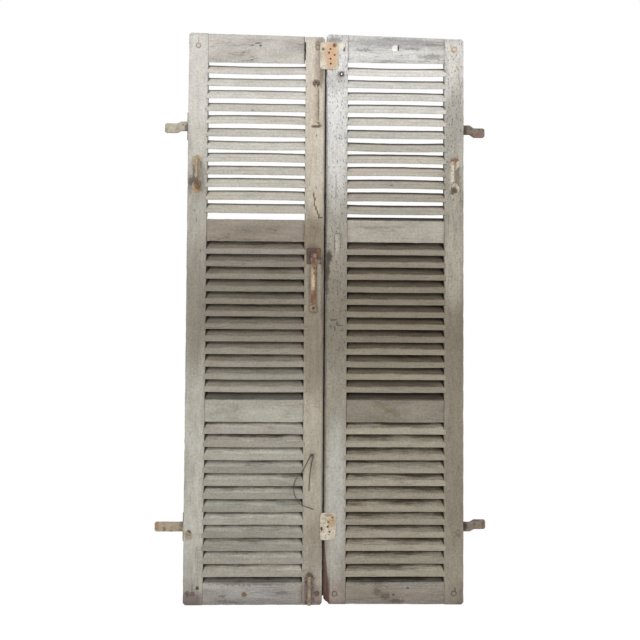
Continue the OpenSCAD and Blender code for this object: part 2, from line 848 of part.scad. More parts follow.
module left_hinge_screws() {
    color(rust) on_left() hinge_screws(left_w);
}

module right_hinge_screws() {
    color(rust) on_right() hinge_screws(right_w);
}

module left_hinge_rivet() {
    color(rust) on_left() hinge_rivet(left_w);
}

module right_hinge_rivet() {
    color(paint) on_right() hinge_rivet(right_w);
}

// Domed nail driven into the front face, its head on a plate of the given thickness
module nail(head_r, shank_r, depth, plate) {
    head_h = head_r * 0.55;
    into_face() translate([0, 0, -plate]) rotate_extrude() polygon([
        [0, -head_h], [head_r * 0.55, -head_h * 0.85], [head_r, -head_h * 0.25], [head_r, 0],
        [shank_r, 0], [shank_r, plate + depth - shank_r], [0, plate + depth - 1]
    ]);
}

module nails(spots, plate) {
    for (p = spots) translate([p[0], 0, p[1]]) nail(nail_head_r, nail_r, nail_depth, plate);
}

// Pull handle: a bowed round grip on two leaf-shaped feet
module handle_foot() {
    arc_r = (foot_w * foot_w + foot_l * foot_l) / (4 * foot_w);
    face_plate(-foot_t, 0) intersection_for (s = [-1, 1])
        translate([s * (arc_r - foot_w / 2), 0]) circle(arc_r, $fn = 96);
}

module handle_half(lean) {
    leg_z = handle_span / 2;
    translate([0, 0, leg_z]) handle_foot();
    difference() {
        rotate([0, 0, -lean]) {
            translate([0, grip_bend - handle_reach, leg_z]) into_face()
                cylinder(r = grip_r, h = handle_reach - grip_bend + grip_r);
            translate([0, grip_bend - handle_reach, leg_z - grip_bend])
                rotate([0, -90, 0]) rotate([0, 0, 270])
                    rotate_extrude(angle = 90) translate([grip_bend, 0]) circle(grip_r);
            translate([0, -handle_reach, 0]) cylinder(r = grip_r, h = leg_z - grip_bend);
        }
        translate([-foot_w, -foot_t / 2, 0]) cube([2 * foot_w, foot_w, handle_span]);
    }
}

module handle(w, lean) {
    translate([w - handle_edge, 0, handle_z]) difference() {
        union() {
            handle_half(lean);
            mirror([0, 0, 1]) handle_half(lean);
        }
        for (z = handle_screw_zs)
            translate([0, -foot_t - cut, z]) into_face()
                cylinder(r = nail_r + hole_clear, h = foot_t + 2 * cut);
    }
}

module left_handle() {
    color(cream_iron) on_left() handle(left_w, left_handle_lean);
}

module right_handle() {
    color(cream_iron) on_right() handle(right_w, right_handle_lean);
}

module left_handle_screws() {
    color(rust) on_left() nails(handle_spots(left_w), foot_t);
}

module right_handle_screws() {
    color(rust) on_right() nails(handle_spots(right_w), foot_t);
}

// Stop plate: nailed to the right leaf, joggled out to lap over the left one
function stop_section(lap) = [
    [stop_seat_w, 0], [0, 0], [-lap_air, -lap_air], [-lap, -lap_air],
    [-lap, -stop_t - lap_air], [-lap_air, -stop_t - lap_air],
    [lap_air, -stop_t], [stop_seat_w, -stop_t]
];

module stop_plate(lap, h, z, spots) {
    translate([0, 0, z]) difference() {
        intersection() {
            linear_extrude(h) polygon(stop_section(lap));
            translate([-lap, 0, 0]) face_plate(-2 * stop_t - lap_air, cut)
                round_rect(lap + stop_seat_w, h, stop_corner);
        }
        for (p = spots)
            translate([p[0], -stop_t - cut, p[1]]) into_face()
                cylinder(r = nail_r + hole_clear, h = stop_t + 2 * cut);
    }
}

module top_stop_plate() {
    color(peach_rust) on_right() stop_plate(top_stop_lap, top_stop_h, top_stop_z, top_stop_spots);
}

module bottom_stop_plate() {
    color(cream_iron) on_right()
        stop_plate(bottom_stop_lap, bottom_stop_h, bottom_stop_z, bottom_stop_spots);
}

module top_stop_nails() {
    color(rust) on_right() translate([0, 0, top_stop_z]) nails(top_stop_spots, stop_t);
}

module bottom_stop_nails() {
    color(rust) on_right() translate([0, 0, bottom_stop_z]) nails(bottom_stop_spots, stop_t);
}

// Cabin hook: an eye on its pivot screw, a round shank and a bent-back tip
module hook_screw() {
    head_r = hook_eye_r - 2;
    color(rust) on_left() translate([hook_in, 0, hook_z])
        nail(head_r, hook_screw_r, nail_depth, hook_eye_t / 2 + hook_head_air - hook_y);
}

module cabin_hook() {
    corner = hook_r + 1;
    low_z = -hook_shank - 2 * hook_bend;
    color(cream_iron) on_left() translate([hook_in, hook_y, hook_z]) difference() {
        union() {
            translate([0, -hook_eye_t / 2, 0]) into_face() cylinder(r = hook_eye_r, h = hook_eye_t);
            translate([0, 0, corner - hook_shank])
                cylinder(r = hook_r, h = hook_shank - corner - (hook_eye_r + hook_screw_r) / 2);
            translate([-corner, 0, corner - hook_shank]) hook_arc(corner, 270, 90);
            translate([-hook_bend, 0, -hook_shank]) rotate([0, 90, 0])
                cylinder(r = hook_r, h = hook_bend - corner);
            translate([-hook_bend, 0, -hook_shank - hook_bend]) hook_arc(hook_bend, 90, 180);
            translate([-hook_bend, 0, low_z]) rotate([0, 90, 0])
                cylinder(r = hook_r, h = hook_bend + hook_tip);
        }
        translate([0, -hook_eye_t, 0]) into_face()
            cylinder(r = hook_screw_r + pin_clear, h = 2 * hook_eye_t);
    }
}

// A bend of the hook's iron, swept upright from one angle through another
module hook_arc(r, from, through) {
    rotate([90, 0, 0]) rotate([0, 0, from]) rotate_extrude(angle = through)
        translate([r, 0]) circle(hook_r);
}

// Swing latch: a tapered bar with a ring end, on a rivet through its plate
module latch_plate() {
    color(rust) on_left() difference() {
        translate([latch_in - latch_plate_w / 2, 0, latch_plate_foot])
            face_plate(-latch_plate_t, 0) round_rect(latch_plate_w, latch_plate_h, 4);
        translate([0, -latch_plate_t, 0])
            nail_bores(latch_spots, nail_r + hole_clear, latch_plate_t + cut);
        translate([0, -latch_plate_t, 0])
            nail_bores([[latch_in, latch_z]], latch_pin_r + hole_clear, latch_plate_t + cut);
    }
}

module latch_plate_nails() {
    color(rust) on_left() for (p = latch_spots)
        translate([p[0], -latch_plate_t - latch_nail_h, p[1]]) into_face() {
            cylinder(r = nail_head_r, h = latch_nail_h);
            cylinder(r = nail_r, h = nail_depth + latch_plate_t - cut);
        }
}

module latch_rivet() {
    color(rust) on_left() translate([latch_in, 0, latch_z])
        nail(latch_w * 0.36, latch_pin_r, nail_depth, latch_plate_t + latch_t + 2 * latch_air);
}

// The bar between its two round ends, a little inside each of them
function latch_outline() = let (
    top = latch_w / 2 - 1, tip = latch_tip_w / 2,
    top_z = -latch_pin_r - 1, low_z = ring_hole_r + 2 - latch_l
) [[-top, top_z], [top, top_z], [tip, low_z], [-tip, low_z]];

module latch_bar() {
    front_y = -latch_plate_t - latch_air - latch_t;
    color(rust) on_left() translate([latch_in, front_y, latch_z]) difference() {
        union() {
            into_face() cylinder(r = latch_w / 2, h = latch_t);
            face_plate(0, latch_t) polygon(latch_outline());
            translate([0, 0, -latch_l]) into_face() cylinder(r = ring_r, h = latch_t);
        }
        translate([0, -cut, 0]) into_face() cylinder(r = latch_pin_r + pin_clear, h = latch_t + 2 * cut);
        translate([0, -cut, -latch_l]) into_face() cylinder(r = ring_hole_r, h = latch_t + 2 * cut);
    }
}

// Foot bolt: a rod in two saddle guides on a plate
module bolt_guide(z) {
    shell_r = bolt_r + guide_wall;
    translate([bolt_in, 0, z]) {
        translate([0, bolt_y, 0]) cylinder(r = shell_r, h = guide_h);
        translate([-shell_r, bolt_y, 0]) cube([2 * shell_r, -bolt_y - bolt_plate_t / 2, guide_h]);
    }
}

module bolt_plate() {
    color(cream_iron) on_left() difference() {
        union() {
            translate([bolt_in - bolt_plate_w / 2, 0, bolt_plate_z])
                face_plate(-bolt_plate_t, 0) round_rect(bolt_plate_w, bolt_plate_h, 3);
            bolt_guide(low_guide_z);
            bolt_guide(high_guide_z);
        }
        translate([bolt_in, bolt_y, 0]) cylinder(r = bolt_r + bolt_clear, h = leaf_h);
        translate([0, -bolt_plate_t, 0]) nail_bores(bolt_spots, nail_r + hole_clear, bolt_plate_t + cut);
    }
}

module bolt_screws() {
    color(rust) on_left() nails(bolt_spots, bolt_plate_t);
}

module bolt_rod() {
    foot_z = bolt_plate_z - 2;
    color(cream_iron) on_left() translate([bolt_in, bolt_y, 0]) {
        translate([0, 0, foot_z]) cylinder(r = bolt_r, h = knob_z - foot_z);
        translate([0, 0, knob_z]) sphere(knob_r);
    }
}

module right_stud() {
    color(cream_iron) on_right() for (p = stud_spots)
            translate([p[0], 0, p[1]]) nail(stud_r, stud_shank_r, nail_depth, 0);
}

// Wire hung on a nail, swept as an eight-sided tube along its route
wire_sides = 8;
function unit(v) = v / norm(v);
function route_dir(p, i) = unit(p[min(i + 1, len(p) - 1)] - p[max(i - 1, 0)]);
function ring(p, i) = let (
    d = route_dir(p, i), a = unit(cross(d, [0, 1, 0])), b = cross(a, d)
) [
    for (s = [0 : wire_sides - 1])
        p[i] + wire_r * (cos(360 * s / wire_sides) * a + sin(360 * s / wire_sides) * b)
];

module tube(p) {
    n = len(p);
    polyhedron(
        points = [for (i = [0 : n - 1]) each ring(p, i)],
        faces = concat(
            [[for (s = [0 : wire_sides - 1]) s]],
            [for (i = [0 : n - 2], s = [0 : wire_sides - 1]) let (t = (s + 1) % wire_sides)
                [i * wire_sides + s, (i + 1) * wire_sides + s,
                 (i + 1) * wire_sides + t, i * wire_sides + t]],
            [[for (s = [wire_sides - 1 : -1 : 0]) (n - 1) * wire_sides + s]]
        )
    );
}

module wire_nail() {
    stand = 6;
    color(rust) on_left() translate([wire_in, 0, wire_z]) nail(nail_head_r, nail_r, nail_depth, stand);
}

module hanging_wire() {
    color(rust) on_left() translate([wire_in, 0, wire_z]) tube(wire_route);
}

left_outer_stile();
left_meeting_stile();
left_top_rail();
left_upper_rail();
left_lower_rail();
left_bottom_rail();
left_upper_slats();
left_middle_slats();
left_lower_slats();
left_pegs();
cover_strip();
right_outer_stile();
right_meeting_stile();
right_top_rail();
right_upper_rail();
right_lower_rail();
right_bottom_rail();
right_upper_slats();
right_middle_slats();
right_lower_slats();
right_pegs();
left_upper_anchor();
left_lower_anchor();
right_upper_anchor();
right_lower_anchor();
left_upper_hinge();
left_lower_hinge();
right_upper_hinge();
right_lower_hinge();
left_hinge_pins();
right_hinge_pins();
left_hinge_screws();
right_hinge_screws();
left_hinge_rivet();
right_hinge_rivet();
left_handle();
right_handle();
left_handle_screws();
right_handle_screws();
top_stop_plate();
bottom_stop_plate();
top_stop_nails();
bottom_stop_nails();
hook_screw();
cabin_hook();
latch_plate();
latch_plate_nails();
latch_rivet();
latch_bar();
bolt_plate();
bolt_screws();
bolt_rod();
right_stud();
wire_nail();
hanging_wire();
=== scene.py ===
"""A pair of weathered louvred shutters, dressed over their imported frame."""
import json
import math
from functools import partial

import bmesh
import bpy
from bpy.props import FloatProperty, FloatVectorProperty, IntProperty, PointerProperty
from mathutils import Matrix, Vector, noise

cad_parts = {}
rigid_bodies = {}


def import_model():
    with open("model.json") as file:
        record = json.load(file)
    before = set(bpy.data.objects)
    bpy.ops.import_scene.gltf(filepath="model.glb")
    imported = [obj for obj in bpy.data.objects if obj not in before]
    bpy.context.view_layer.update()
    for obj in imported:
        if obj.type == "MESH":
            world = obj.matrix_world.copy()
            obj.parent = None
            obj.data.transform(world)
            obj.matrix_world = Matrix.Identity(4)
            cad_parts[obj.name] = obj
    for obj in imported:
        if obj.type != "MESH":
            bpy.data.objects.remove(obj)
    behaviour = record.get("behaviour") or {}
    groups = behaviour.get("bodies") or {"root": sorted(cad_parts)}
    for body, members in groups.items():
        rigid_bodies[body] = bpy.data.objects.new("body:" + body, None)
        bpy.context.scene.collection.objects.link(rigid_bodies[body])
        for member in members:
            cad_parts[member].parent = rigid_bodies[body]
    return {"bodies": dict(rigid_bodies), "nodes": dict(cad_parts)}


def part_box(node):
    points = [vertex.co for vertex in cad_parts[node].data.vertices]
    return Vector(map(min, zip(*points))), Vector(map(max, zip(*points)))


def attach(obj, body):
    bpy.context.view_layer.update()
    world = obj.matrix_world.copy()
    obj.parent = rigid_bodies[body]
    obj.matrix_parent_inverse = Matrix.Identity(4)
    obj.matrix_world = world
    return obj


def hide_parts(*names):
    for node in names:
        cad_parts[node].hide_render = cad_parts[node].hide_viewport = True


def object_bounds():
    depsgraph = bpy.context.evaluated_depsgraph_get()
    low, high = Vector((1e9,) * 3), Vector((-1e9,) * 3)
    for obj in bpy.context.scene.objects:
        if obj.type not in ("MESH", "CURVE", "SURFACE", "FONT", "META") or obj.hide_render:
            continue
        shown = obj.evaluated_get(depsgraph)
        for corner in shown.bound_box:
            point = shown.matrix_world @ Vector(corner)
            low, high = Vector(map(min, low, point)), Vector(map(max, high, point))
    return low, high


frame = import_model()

bl_info = {
    "name": "Louvred Shutters",
    "version": (1, 0, 0),
    "blender": (4, 5, 0),
    "location": "3D View > Sidebar > Shutters",
    "description": "Dresses a pair of weathered louvred shutters over their packed frame",
    "category": "Add Mesh",
}

CAD_BOX = [list(corner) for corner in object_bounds()]
MM = 0.001
LEAF_HEIGHT = CAD_BOX[1][2]
LEAF_DEPTH = 32 * MM
SLAT_COUNT = 12
# Points along a slat, so that it can bow.
SLAT_STATIONS = 36
# A board is worn in slices of about this length.
SLICE = 20 * MM
# Edges sharper than this stay crisp, on boards and on small or swept pieces.
BOARD_CREASE, SMALL_CREASE = math.radians(35), math.radians(40)
# Past this much bare wood a board counts as worn through to its fibres.
WORN_THROUGH = 0.1
# An arris turns by more than the first (radians), keeps to the board's run by the second, and is
# longer than the third.
ARRIS_TURN, ARRIS_TRUE, ARRIS_LEAST = 0.7, 0.98, 4 * MM
# Wear in the shapes, as bays to the metre: chips of 18 mm along the arrises, nicks of 24 mm in the
# slats, hammer marks of 14 mm and pits of 5 mm in the iron, dents of 4 mm in the fixings' heads.
CHIPS, NICKS, HAMMER, PITTING, HEAD_DENTS = 55.0, 42.0, 70.0, 210.0, 260.0
# Points nearer than this are one point, and points this near a face lie on it.
WELD, TOUCH = 1e-5, 0.05 * MM
# The closing slat's tone, on the scale on which the other slats run from 0 to 1: it is painted
# darkest, for grime and for the shade that falls on it under the slat above.
CLOSING_TONE = -2.2
# How uneven a fixing's head is, as a share of its radius.
HEAD_UNEVEN = 0.12
# The floor's half size, and how far it lies below the leaves' feet.
FLOOR_REACH, FLOOR_DROP = 14.0, 1.0 * MM
# How much of the floor is a plain glow to the lens, and that glow's strength.
PAPER_SHARE, PAPER_GLOW = 0.75, 1.21
# Strength of the white surroundings as a light, and as the lens sees them.
SKY_LIGHT, SKY_SEEN = 0.38, 1.0

# The kinds of node that come up most.
MATH, VECTOR, MIX = "ShaderNodeMath", "ShaderNodeVectorMath", "ShaderNodeMix"
NOISE, SPREAD, MAPPING = "ShaderNodeTexNoise", "ShaderNodeMapRange", "ShaderNodeMapping"
RAMP, COMBINE, ATTRIBUTE = "ShaderNodeValToRGB", "ShaderNodeCombineXYZ", "ShaderNodeAttribute"
WHITE, BLACK = (1.0, 1.0, 1.0, 1.0), (0.0, 0.0, 0.0, 1.0)

# Louvre panels in mm: floor, first slat above it, pitch, a slat's rise from front to back and
# the height of its edge, then the corners (y, z above the floor) of the closing slat that lies
# on the rail.
PANELS = {
    "lower": (74.0, 18.0, 43.4, 33.14, 16.56, ((8.8, 0.2), (24.7, 0.2), (32, 7.7), (32, 24.2))),
    "middle": (
        685.96, 25.0, 42.5, 33.14, 16.56, ((1.1, 0.2), (17.1, 0.2), (32, 15.6), (32, 32.2)),
    ),
    "upper": (
        1297.91, 18.5, 43.6, 27.82, 15.24, ((11.6, 0.2), (29.1, 0.2), (32, 2.7), (32, 17.9)),
    ),
}
# How light the slats are painted from their front edge (0) to their back edge (1): painted shade
# darkens the back, under the slat above, and painted light lifts the sloping face where a stop is
# over 1. Both differ by panel.
SLAT_SHADE = {
    "left_lower": ((0.0, 0.74), (1.0, 0.36), (0.08, 0.74), (0.16, 0.88), (0.5, 0.9), (0.74, 0.56)),
    "left_middle": ((0.0, 0.88), (1.0, 0.32), (0.08, 0.86), (0.16, 0.62), (0.72, 0.7)),
    "left_upper": (
        (0.0, 1.1), (1.0, 0.14), (0.08, 1.1), (0.16, 1.32), (0.56, 1.38), (0.72, 0.8),
        (0.84, 0.22),
    ),
    "right_lower": (
        (0.0, 1.08), (1.0, 0.26), (0.08, 1.08), (0.16, 0.84), (0.32, 0.76), (0.54, 0.4),
    ),
    "right_middle": ((0.0, 1.0), (1.0, 0.18), (0.08, 0.98), (0.16, 0.42), (0.72, 0.42)),
    "right_upper": (
        (0.0, 1.02), (1.0, 0.07), (0.08, 1.02), (0.16, 1.28), (0.46, 1.34), (0.64, 0.66),
        (0.76, 0.14),
    ),
}
# How far soot streaks run forward over a panel's slats, carrying the painted shade forward with
# them.
SMEARED = {"lower": 2.8, "middle": 2.2, "upper": 0.0}
# Middle and half width of each leaf's louvre opening, in mm.
OPENING = {"left": (-236.0, 166.5), "right": (243.0, 166.5)}
# How much lighter or darker, and warmer or colder, a board is than its leaf.
BOARD_TINT = {
    "left_meeting_stile": (1.05, 1.015, 0.96),
    "left_top_rail": (0.9, 0.88, 0.87),
    "left_upper_rail": (0.74, 0.69, 0.65),
    "left_lower_rail": (0.83, 0.83, 0.8),
    "right_top_rail": (0.96, 0.96, 0.96),
    "right_upper_rail": (1.19, 1.19, 1.2),
    "right_lower_rail": (0.76, 0.74, 0.74),
    "right_meeting_stile": (1.03, 1.04, 1.06),
    "right_outer_stile": (0.98, 0.97, 0.95),
}
# How far the paint has gone from a board, where it isn't sound.
BOARD_BARE = {"left_bottom_rail": 0.16, "right_bottom_rail": 0.14, "right_top_rail": 0.15,
              "left_top_rail": 0.06}

# Local marks on the paint, mostly stains, and some painted shadow and shade: x, z, half width,
# half height in mm, colour, strength.
PEG_RING = (10, 10, "#4f443c", 0.8)
LEFT_MARKS = {
    "outer_stile": (
        (-436, 1893, 10, 10, "#84706a", 0.85), (-436, 1912, 2, 12, "#a8988c", 0.7),
        (-437, 20, 44, 30, "#766a68", 0.8), (-454, 38, 8, 15, "#5f4f43", 0.8),
        # Beside the left handle, (-447, 1465) is painted shadow left of its grip, and (-452, 1425)
        # and (-460, 1412) are rust stain and painted shadow together.
        (-420, 57, 6, 7, "#3c3532", 0.9), (-452, 1425, 16, 22, "#594d45", 0.8),
        (-460, 1412, 9, 40, "#6d635b", 0.6), (-447, 1465, 5, 46, "#6a5a49", 0.7),
        (-440, 1376, 14, 26, "#8f8778", 0.5), (-435, 980, 34, 260, "#7f7a6f", 0.5),
        (-451, 232, 17, 20, "#7d6a55", 0.55),
    ),
    "meeting_stile": (
        (-36, 560, 70, 640, "#978c7c", 0.5), (-36, 860, 50, 190, "#786e5f", 0.6),
        (-36, 190, 50, 110, "#877e71", 0.55), (-36, 1235, 50, 105, "#7c6e5c", 0.75),
        (-36, 1640, 50, 330, "#d0c3b2", 0.5), (-24, 1835, 18, 80, "#8a7a6c", 0.6),
        (-22, 1905, 20, 22, "#6f6052", 0.7), (-12, 1850, 12, 75, "#77675b", 0.6),
        # (-24, 1690) is painted shadow beside the hook's shank, together with a rust stain.
        (-28, 1893, 10, 10, "#6f5c4f", 0.8), (-24, 1690, 2.5, 74, "#5f5046", 0.75),
        (-32, 1768, 13, 14, "#4f4238", 0.75), (-15, 1790, 8, 60, "#7c6b5c", 0.6),
        # (-5, 1600) is painted shadow cast by the right leaf along the seam.
        (-5, 1600, 4, 330, "#8d8880", 0.6), (-28, 1345, 14, 44, "#c3b39c", 0.6),
        (-39, 1383, 3, 10, "#4d4338", 0.75), (-35, 1368, 3, 9, "#4d4338", 0.75),
        (-37, 1352, 3, 10, "#4d4338", 0.75), (-31, 1338, 4, 8, "#4d4338", 0.75),
        (-26, 1325, 3, 9, "#453b31", 0.8), (-21, 1312, 3, 10, "#453b31", 0.8),
        # (-4, 700) is painted shade along the seam.
        (-14, 1306, 8, 3, "#453b31", 0.7), (-4, 700, 4, 700, "#5d544a", 0.5),
        (-8, 1145, 7, 50, "#3f372f", 0.7), (-9, 1010, 5, 90, "#55493e", 0.6),
        (-38, 1090, 30, 130, "#8f8a80", 0.4), (-36, 470, 16, 60, "#8d8577", 0.5),
        (-40, 1185, 32, 38, "#5d4a3e", 0.5), (-45, 60, 26, 66, "#857a6c", 0.6),
        (-24, 30, 26, 50, "#85756d", 0.6), (-20, 38, 9, 9, "#3a312b", 0.8),
        # (-36, 58) is painted shadow to the right of the foot bolt's rod.
        (-36, 58, 3.5, 52, "#4a3f38", 0.75), (-52, 1060, 4, 90, "#6a6053", 0.5),
    ),
    "top_rail": (
        (-105, 1890, 60, 34, "#9a9590", 0.4), (-232, 1904, 13, 2.5, "#5f574f", 0.9),
        (-252, 1897, 8, 2.5, "#5f574f", 0.9), (-224, 1896, 5, 4, "#5a524a", 0.9),
        (-71.5, 1882, 3.5, 64, "#2e2a26", 0.9),
    ),
    "upper_rail": (),
    "lower_rail": (),
    "bottom_rail": (
        (-230, 30, 170, 46, "#8f8a8e", 0.55), (-260, 34, 90, 22, "#b4b1ac", 0.5),
        (-140, 40, 26, 7, "#6e615c", 0.7), (-336, 30, 16, 5, "#6b625f", 0.7),
        (-320, 10, 60, 8, "#6e6463", 0.7), (-263, 35, 9, 9, "#7d5e48", 0.95),
        # (-235, 72) along the rail's top is painted shade under the lowest slat.
        (-235, 72, 170, 8, "#6d615a", 0.7),
    ),
}
RIGHT_MARKS = {
    "meeting_stile": (
        (40, 1640, 50, 330, "#dddcdb", 0.5), (52, 1897, 14, 12, "#e6decd", 0.85),
        (46, 1790, 14, 24, "#8d8880", 0.7), (54, 1800, 15, 15, "#3f3932", 0.9),
        # (5, 960) is painted shade along the seam.
        (37, 1405, 2, 60, "#6b665f", 0.5), (5, 960, 3.5, 960, "#3a342e", 0.6),
        (40, 940, 50, 190, "#7a7567", 0.6), (40, 640, 44, 100, "#8a8577", 0.45),
        (36, 1775, 44, 44, "#b2afab", 0.55), (44, 190, 36, 130, "#aeaaa2", 0.7),
        (30, 1920, 34, 14, "#7f7b76", 0.7), (42, 1213, 9, 38, "#c4c0b3", 0.35),
        (33, 1215, 2, 36, "#57503f", 0.55), (44, 1252, 11, 2.5, "#5f594e", 0.65),
        (53, 1212, 2, 30, "#6f685d", 0.4), (15, 1172, 14, 26, "#3a332b", 0.9),
        (10, 1128, 10, 44, "#40382f", 0.85), (7, 1070, 6, 56, "#4a4137", 0.75),
        (30, 957, 12, 3, "#453e35", 0.7), (43, 944, 3, 9, "#453e35", 0.7),
        (54, 938, 11, 3, "#453e35", 0.65), (36, 927, 3, 9, "#453e35", 0.65),
        (60, 922, 9, 2.5, "#4d463c", 0.6), (23, 934, 2.5, 10, "#4d463c", 0.6),
        (63, 1887, 4, 9, "#3a332d", 0.8), (42, 400, 40, 260, "#bcbab5", 0.62),
        (44, 40, 30, 46, "#9d8d84", 0.6), (14, 60, 12, 44, "#4a3a36", 0.6), (39.5, 37, *PEG_RING),
        (28, 150, 2.5, 120, "#bcb0a6", 0.6),
    ),
    "outer_stile": (
        (442.5, 1893, 11, 11, "#b39b7e", 0.8), (442.5, 37, *PEG_RING),
        (446, 50, 3, 9, "#4f443c", 0.7), (442, 1640, 46, 150, "#98938a", 0.75),
        (442, 1150, 50, 170, "#a8a295", 0.75), (442, 830, 50, 190, "#766d5f", 0.6),
        (445, 470, 46, 360, "#7b7262", 0.6), (458, 240, 14, 14, "#7f7565", 0.5),
        # (455, 1455) beside the right handle's grip is bare brown wood and painted shadow
        # together.
        (455, 1455, 9, 50, "#8b7d6b", 0.6),
    ),
    "top_rail": (
        (240, 1914, 190, 20, "#8f8f90", 0.65), (240, 1868, 190, 20, "#d6d5d2", 0.5),
        (359, 1866, 54, 12, "#77736e", 0.6), (300, 1893, 40, 5, "#6f6c68", 0.6),
        (130, 1885, 40, 6, "#7b7875", 0.6), (240, 1894, 13, 11, "#f1efeb", 0.95),
        (249, 1895, 3.5, 11, "#2e2a26", 0.95),
    ),
    "upper_rail": (),
    "lower_rail": (
        (189, 668, 30, 12, "#756d57", 0.75), (229, 650, 27, 13, "#736b55", 0.8),
        (246, 638, 16, 13, "#756d57", 0.75), (203, 620, 31, 9, "#766e58", 0.7),
        (330, 655, 60, 30, "#8f8676", 0.4),
    ),
    "bottom_rail": (
        (240, 20, 170, 40, "#8a7f76", 0.5), (182, 44, 18, 15, "#5b5047", 0.65),
        (210, 30, 22, 15, "#574c44", 0.7), (248, 13, 30, 9, "#574c44", 0.65),
        (195, 62, 34, 5, "#6a5f56", 0.6), (238, 34, 6, 6, "#4a423b", 0.7),
        # (240, 74) along the rail's top is painted shade under the lowest slat.
        (287, 56, 5, 5, "#3b352f", 0.8), (240, 74, 170, 7, "#4f463f", 0.7),
    ),
}
# Stains on the pegs' ends.
PEG_MARKS = {
    "left": (
        (-435, 1893, 10, 10, "#c4bcb2", 0.9), (-435, 37, 10, 10, "#6a5647", 0.85),
        (-28, 1893, 10, 10, "#a08f80", 0.8), (-20, 37, 10, 10, "#5d4f46", 0.85),
    ),
    "right": (
        (54, 1893, 10, 10, "#e9e1d0", 0.95), (442, 1893, 10, 10, "#dcc3a0", 0.9),
        (39, 37, 10, 10, "#8f837a", 0.8), (442, 37, 10, 10, "#85786d", 0.8),
    ),
}

# Wall anchors: share of paint left, share of rust, colour of the paint, marks. The dark mark
# nearest the stile on each is painted shade, where the tongue runs in behind the stile.
ANCHOR_LOOKS = {
    "left_upper": (0.9, 0.4, "#b9b0a0", (
        (-478, 1618, 9, 16, "#4d443c", 0.75), (-552, 1608, 10, 14, "#8d8068", 0.7))),
    "left_lower": (0.75, 0.7, "#b3a48e", (
        (-566, 260, 10, 18, "#96724a", 0.7), (-480, 260, 8, 18, "#6f6459", 0.6))),
    "right_upper": (0.7, 0.4, "#7d736a", (
        (532, 1611, 18, 10, "#86584a", 0.75), (484, 1616, 10, 18, "#4a423b", 0.7))),
    "right_lower": (0.8, 0.5, "#857a6e", (
        (486, 253, 12, 20, "#3d2f28", 0.85), (550, 259, 6, 16, "#5d4a3c", 0.8),
        (515, 272, 26, 3.5, "#54463c", 0.7))),
}
# Pull handles: seed, colour of the paint, marks.
HANDLE_LOOKS = {
    "left": (31, "#b6a58c", (
        (-428, 1450, 3, 55, "#6f5a46", 0.75), (-433, 1418, 12, 20, "#4f3d34", 0.85),
        (-437, 1396, 18, 12, "#9a7850", 0.85), (-437, 1509, 16, 9, "#a98f6a", 0.75))),
    "right": (35, "#d9cfbd", (
        (443, 1506, 20, 13, "#7a4837", 0.92), (440, 1490, 10, 10, "#9a7a62", 0.5),
        (438, 1455, 2.5, 40, "#5f5044", 0.7), (440, 1400, 18, 16, "#54402f", 0.85))),
}
# Stop plates: seed, marks.
STOP_LOOKS = {
    "top": (41, (
        (18, 1866, 26, 60, "#cfa27d", 0.75), (30, 1900, 8, 9, "#7a5337", 0.7),
        (-10, 1886, 5, 6, "#5a4a3a", 0.8), (-8, 1835, 12, 20, "#e2dccd", 0.5))),
    "bottom": (44, (
        (28, 278, 14, 24, "#b39468", 0.7), (20, 300, 14, 6, "#8d7a5c", 0.6),
        (-5, 254, 4, 8, "#3f3328", 0.9), (8, 230, 16, 14, "#ddd6c6", 0.4))),
}
# Hook and latch: share of paint left, share of rust, share of rust spots, colour of the paint,
# slot, marks.
CATCH_LOOKS = {
    "cabin_hook": (0.95, 0.4, 0.0, "#cdbda4", "painted_iron", (
        (-32, 1768, 10, 10, "#54453a", 0.75), (-28, 1617, 24, 9, "#4d3c30", 0.85),
        (-29, 1690, 2, 40, "#9a8268", 0.5))),
    "latch_plate": (0.1, 0.45, 0.55, "#a08f7c", "rusty_iron", (
        (-44, 1180, 24, 26, "#42302a", 0.88), (-20, 1182, 8, 14, "#6a4a36", 0.8),
        (-24, 1155, 10, 8, "#9a8a74", 0.7))),
    "latch_bar": (0.5, 0.5, 0.55, "#a89478", "rusty_iron", (
        (-43, 1095, 6, 60, "#a39379", 0.85), (-33, 1085, 5, 60, "#7d5540", 0.7),
        (-38, 1088, 6, 34, "#cbb798", 0.75), (-37, 1150, 14, 20, "#664534", 0.8),
        (-38, 1030, 12, 26, "#74452c", 0.85), (-37, 996, 15, 15, "#7d705c", 0.85))),
}
# The nail's x and z, and the wire's way over it: outwards from the nail, y, upwards, in mm.
WIRE_NAIL = (-38.5, 500.0)
WIRE_ROUTE = (
    (10, -3, -120), (9, -2.6, -90), (7, -2.4, -60), (2, -2.6, -28), (-2.8, -3, -8),
    (-3.6, -3.4, 0), (-1.7, -3.6, 3.6), (2, -3.6, 3.6), (5, -3.4, 0), (10, -3, -10),
    (20, -2.6, -30), (31, -2.6, -53), (43, -3, -66), (54, -3, -80), (61, -2.8, -100),
    (61, -2.6, -122), (54, -2.6, -143), (44, -2.6, -158), (30, -2.6, -168), (14, -2.6, -174),
    (-6, -2.6, -181),
)


def linear(hex_colour):
    """An sRGB hex colour as linear RGBA."""
    parts = [int(hex_colour[i:i + 2], 16) / 255 for i in (1, 3, 5)]
    return tuple(
        c / 12.92 if c <= 0.04045 else ((c + 0.055) / 1.055) ** 2.4 for c in parts) + (1.0,)


def feed(tree, made, links):
    """Gives a node its inputs, each a value or another node's socket, in order or by name."""
    for key, value in links.items() if isinstance(links, dict) else enumerate(links):
        if isinstance(value, bpy.types.NodeSocket):
            tree.links.new(value, made.inputs[key])
        else:
            made.inputs[key].default_value = value


